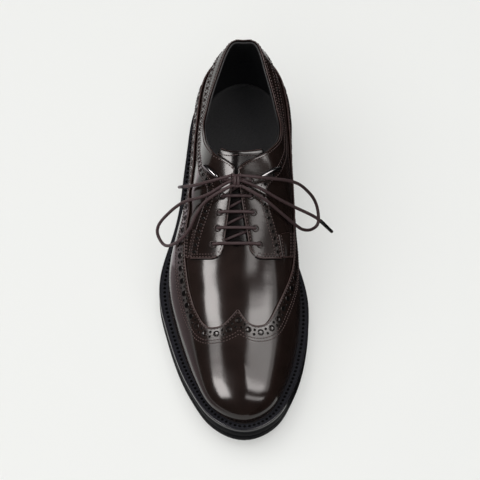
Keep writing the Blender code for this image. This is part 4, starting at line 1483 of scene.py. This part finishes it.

# %% [markdown]
# ## Bow
# The bow has two loops and two ends. Their routes are lists of points laid along the lace, with
# the natural fall of a limp cord, and each end has a black tip.

# %% Routes of the bow
LOOP_LATERAL = (
    (-8.6, 142.6, 111.2), (-14.5, 143.8, 107.5), (-27.7, 146.6, 97.5), (-45.6, 141.0, 78.5),
    (-59.3, 141.3, 58.0), (-63.8, 144.4, 47.0), (-61.0, 151.0, 42.0), (-55.8, 160.0, 50.0),
    (-47.0, 168.0, 69.5), (-40.0, 164.8, 79.5), (-35.4, 158.0, 87.5), (-29.0, 152.0, 95.5),
    (-19.0, 149.4, 105.0), (-8.6, 145.8, 109.4),
)
LOOP_MEDIAL = (
    (-1.4, 139.2, 112.8), (13.2, 139.1, 110.0), (36.8, 128.4, 88.0), (48.2, 124.3, 68.0),
    (54.2, 126.5, 54.0), (55.6, 136.0, 45.5), (51.0, 143.0, 46.5), (44.0, 149.5, 56.0),
    (37.0, 151.5, 67.5), (26.9, 152.0, 83.5), (14.5, 151.2, 100.8), (-1.4, 145.8, 109.2),
)
END_LATERAL = (
    (-8.6, 139.0, 112.6), (-22.6, 138.4, 105.0), (-36.0, 134.6, 93.0), (-47.3, 124.5, 75.0),
)
END_MEDIAL = (
    (-1.4, 142.5, 111.2), (11.5, 143.5, 103.0), (25.7, 144.0, 89.0), (37.6, 143.0, 76.5),
    (53.9, 142.5, 61.0), (65.3, 145.3, 47.0),
)

# %% Tips of the lace
TIP_WIDE = 1.45 * MM
TIP_NARROW = 1.15 * MM
TIP_ROUND = 0.4 * MM


def aglet(name, route, length):
    """Black tip over the last stretch of a lace end."""
    tip = route[-1]
    way = unit(route[-1] - route[-6])
    base = tip - way * length
    bm = bmesh.new()
    bmesh.ops.create_cone(bm, cap_ends=True, segments=20, radius1=TIP_WIDE, radius2=TIP_NARROW,
                          depth=(length + 1.0) * MM)
    edges = [e for e in bm.edges if len(e.link_faces) == 2 and e.calc_face_angle(0) > 1.0]
    bmesh.ops.bevel(bm, geom=edges, offset=TIP_ROUND, offset_type="OFFSET", segments=2, profile=0.5,
                    affect="EDGES", material=-1)
    direction = Vector(place_direction(way)).to_track_quat("Z", "Y").to_matrix().to_4x4()
    bm.transform(Matrix.Translation(Vector(place((base + tip + way) / 2))) @ direction)
    piece = new_object(name, smooth_mesh(name, bm, 50), (aglet_black,))
    return declare(piece)


# %% Loops and ends
Strand = namedtuple("Strand", "node points tip")
STRANDS = (Strand("lace_loop_lateral", LOOP_LATERAL, 0), Strand("lace_loop_medial", LOOP_MEDIAL, 0),
           Strand("lace_end_lateral", END_LATERAL, 8.0), Strand("lace_end_medial", END_MEDIAL, 14.0))
for node, points, tip in STRANDS:
    route = smooth_route(points, 1.5)
    word = node.removeprefix("lace_")
    cord = lace(f"bow_{word}", (route,))
    declare(cord, node)
    length = float(run_along(route)[-1]) * MM
    tips = [aglet(f"aglet_{word.removeprefix('end_')}", route, tip)] if tip else []
    print(cord.name, "length %.3f m" % length)

# %% [markdown]
# The knot is two turns of lace round the strands that run through it. The turns are closed rings that
# lean with the instep.

# %% Knot
KNOT_TURNS = (-6.2, -3.8)
KNOT_ALONG = 141.8
KNOT_HEIGHT = 110.4
KNOT_LEAN = math.radians(-20)
angle = np.linspace(0, 2 * math.pi, 24, endpoint=False)
along = 3.6 * np.cos(angle)
rise = 2.3 * np.sin(angle)
turns = [np.stack((0 * angle + x, KNOT_ALONG + along * math.cos(KNOT_LEAN) - rise * math.sin(KNOT_LEAN),
                   KNOT_HEIGHT + along * math.sin(KNOT_LEAN) + rise * math.cos(KNOT_LEAN)), -1)
         for x in KNOT_TURNS]
declare(lace("bow_knot", turns, cyclic=True), "lace_knot")
strands = []
for first, last in ((LOOP_LATERAL[0], END_MEDIAL[0]), (LOOP_LATERAL[-1], LOOP_MEDIAL[-1]),
                    (END_LATERAL[0], LOOP_MEDIAL[0])):
    middle = (np.array(first) + np.array(last)) / 2 + (0, 0, -0.4)
    strands.append(smooth_route((first, middle, last), 1.0))
declare(lace("knot_strands", strands))
print("strands in the knot:", len(strands))

# %% [markdown]
# ## Floor
# The shoe stands on a plain pale floor. It glows a little, so that it stays even all round, as a floor
# under many lamps does.

# %% Floor
FLOOR_SIZE = 12.0


def flat_mesh(name, matrix):
    bm = bmesh.new()
    bmesh.ops.create_grid(bm, x_segments=1, y_segments=1, size=0.5, matrix=matrix)
    return smooth_mesh(name, bm)


pale = finish("pale_floor", (0.46, 0.463, 0.452), 0.9, Specular_IOR_Level=0.0,
              Emission_Color=(0.86, 0.865, 0.845, 1.0), Emission_Strength=0.485)
spread_out = Matrix.Diagonal((FLOOR_SIZE, FLOOR_SIZE, 1.0, 1.0))
floor = new_object("studio_floor", flat_mesh("studio_floor", spread_out), (pale,))
print("floor:", FLOOR_SIZE, "m")

# %% [markdown]
# Polished leather shows the room. Cards stand for the studio's walls: dark ones at the inner side, and
# grey ones on the floor at the outer side. They show in reflections alone, so neither the camera nor
# the matt parts see them.

# %% Cards that only the polish sees
Card = namedtuple("Card", "name at size colour glow stands")
DARK = (0.012, 0.010, 0.010)
CARDS = (
    Card("dark_card", (0.092, -0.10, 0.03), (0.06, 0.52), DARK, 0.0, True),
    Card("dark_card_rear", (0.092, 0.11, 0.06), (0.12, 0.24), DARK, 0.0, True),
    Card("dark_card_flat", (0.065, 0.04, 0.0008), (0.07, 0.32), DARK, 0.0, False),
    Card("grey_card", (-0.19, -0.12, 0.002), (0.24, 0.26), (0.22, 0.18, 0.19), 0.85, False),
    Card("grey_card_rear", (-0.19, 0.065, 0.002), (0.24, 0.11), (0.46, 0.40, 0.42), 0.95, False),
)
for card in CARDS:
    turn = Matrix.Rotation(math.pi / 2 if card.stands else 0.0, 4, "Y")
    matrix = Matrix.Translation(card.at) @ turn @ Matrix.Diagonal((*card.size, 1.0, 1.0))
    paper = finish(card.name, card.colour, 0.8, Specular_IOR_Level=0.0,
                   Emission_Color=(*card.colour, 1.0), Emission_Strength=card.glow)
    piece = new_object(card.name, flat_mesh(card.name, matrix), (paper,))
    piece.visible_camera = False
    piece.visible_diffuse = False
    piece.visible_shadow = False
print("cards:", len(CARDS))

# %% [markdown]
# ## Light
# One large light overhead serves the floor and the matt parts. Long soft boxes at both sides show in
# the polish alone, as the two bright bands on the vamp. They are split along the foot, because each
# part of the leather mirrors another stretch of them: the toe their rear ends, the upper vamp their
# front ones. A box is given as the shoe sees it, by its height and half width in degrees, and by its
# ends in metres.

# %% Lights
OVERHEAD_POWER = 112.0
BOX_DISTANCE = 1.5
BOX_AIM = 0.05
Box = namedtuple("Box", "name side elevation reach front rear radiance")
BOXES = (
    Box("left_softbox", -1, 53, 10.5, -0.57, 0.055, 12.8),
    Box("left_softbox_front", -1, 53, 10.5, -0.67, -0.57, 3.0),
    Box("left_softbox_rear", -1, 53, 10.5, 0.055, 0.45, 3.0),
    Box("right_softbox", 1, 54, 26, -0.22, 0.45, 1.9),
    Box("right_softbox_front", 1, 54, 26, -0.80, -0.58, 5.0),
    Box("right_softbox_inner", 1, 56.5, 19, -0.23, 0.04, 3.7),
    Box("right_softbox_rear", 1, 56.5, 19, 0.04, 0.42, 2.2),
    Box("right_softbox_core", 1, 59.5, 16, -0.32, 0.02, 3.4),
)


def softbox(name, at, aim, size, power, mirrored):
    """Area light that is either mirrored in the polish or lights the floor and the matt parts."""
    lamp = bpy.data.lights.new(name, "AREA")
    lamp.shape = "RECTANGLE"
    lamp.size, lamp.size_y = size
    lamp.energy = power
    lamp.color = (1.0, 0.96, 0.94) if mirrored else (1.0, 1.0, 1.0)
    light = bpy.data.objects.new(name, lamp)
    light.location = at
    light.rotation_euler = (Vector(aim) - Vector(at)).to_track_quat("-Z", "Y").to_euler()
    light.visible_glossy = mirrored
    light.visible_diffuse = not mirrored
    bpy.context.scene.collection.objects.link(light)


softbox("overhead", (-0.5, -0.3, 2.2), (0.0, 0.0, 0.0), (4.4, 4.4), OVERHEAD_POWER, False)
for box in BOXES:
    height = math.radians(box.elevation)
    length = box.rear - box.front
    width = 2 * BOX_DISTANCE * math.tan(math.radians(box.reach))
    middle = (box.front + box.rear) / 2
    at = (box.side * BOX_DISTANCE * math.cos(height), middle, BOX_DISTANCE * math.sin(height) + BOX_AIM)
    power = box.radiance * math.pi * length * width
    softbox(box.name, at, (0.0, middle, BOX_AIM), (length, width), power, True)
print("lights:", len(bpy.data.lights))

# %% World
world = bpy.data.worlds.new("studio")
world.use_nodes = True
background = world.node_tree.nodes["Background"]
background.inputs["Color"].default_value = (1.0, 0.99, 0.97, 1.0)
background.inputs["Strength"].default_value = 0.04
bpy.context.scene.world = world
bpy.context.scene.view_settings.view_transform = "Standard"
print("world:", world.name)

# %% [markdown]
# ## Camera
# The camera looks down at the toe from in front, at 57 degrees above the floor. It is far away with
# a long lens, because the shoe in the photo shows hardly any perspective.

# %% Camera
ELEVATION = math.radians(57)
FRAME_WIDTH = 0.356
DISTANCE = 6.0
SENSOR = 36.0
target = Vector(place((-2.5, 148.4, 40.0)))
camera_data = bpy.data.cameras.new("camera")
camera_data.sensor_width = SENSOR
camera_data.lens = SENSOR * DISTANCE / FRAME_WIDTH
camera = bpy.data.objects.new("camera", camera_data)
camera.location = target + DISTANCE * Vector((0, -math.cos(ELEVATION), math.sin(ELEVATION)))
camera.rotation_euler = (math.pi / 2 - ELEVATION, 0, 0)
bpy.context.scene.collection.objects.link(camera)
bpy.context.scene.camera = camera
print("lens: %.0f mm" % camera_data.lens)
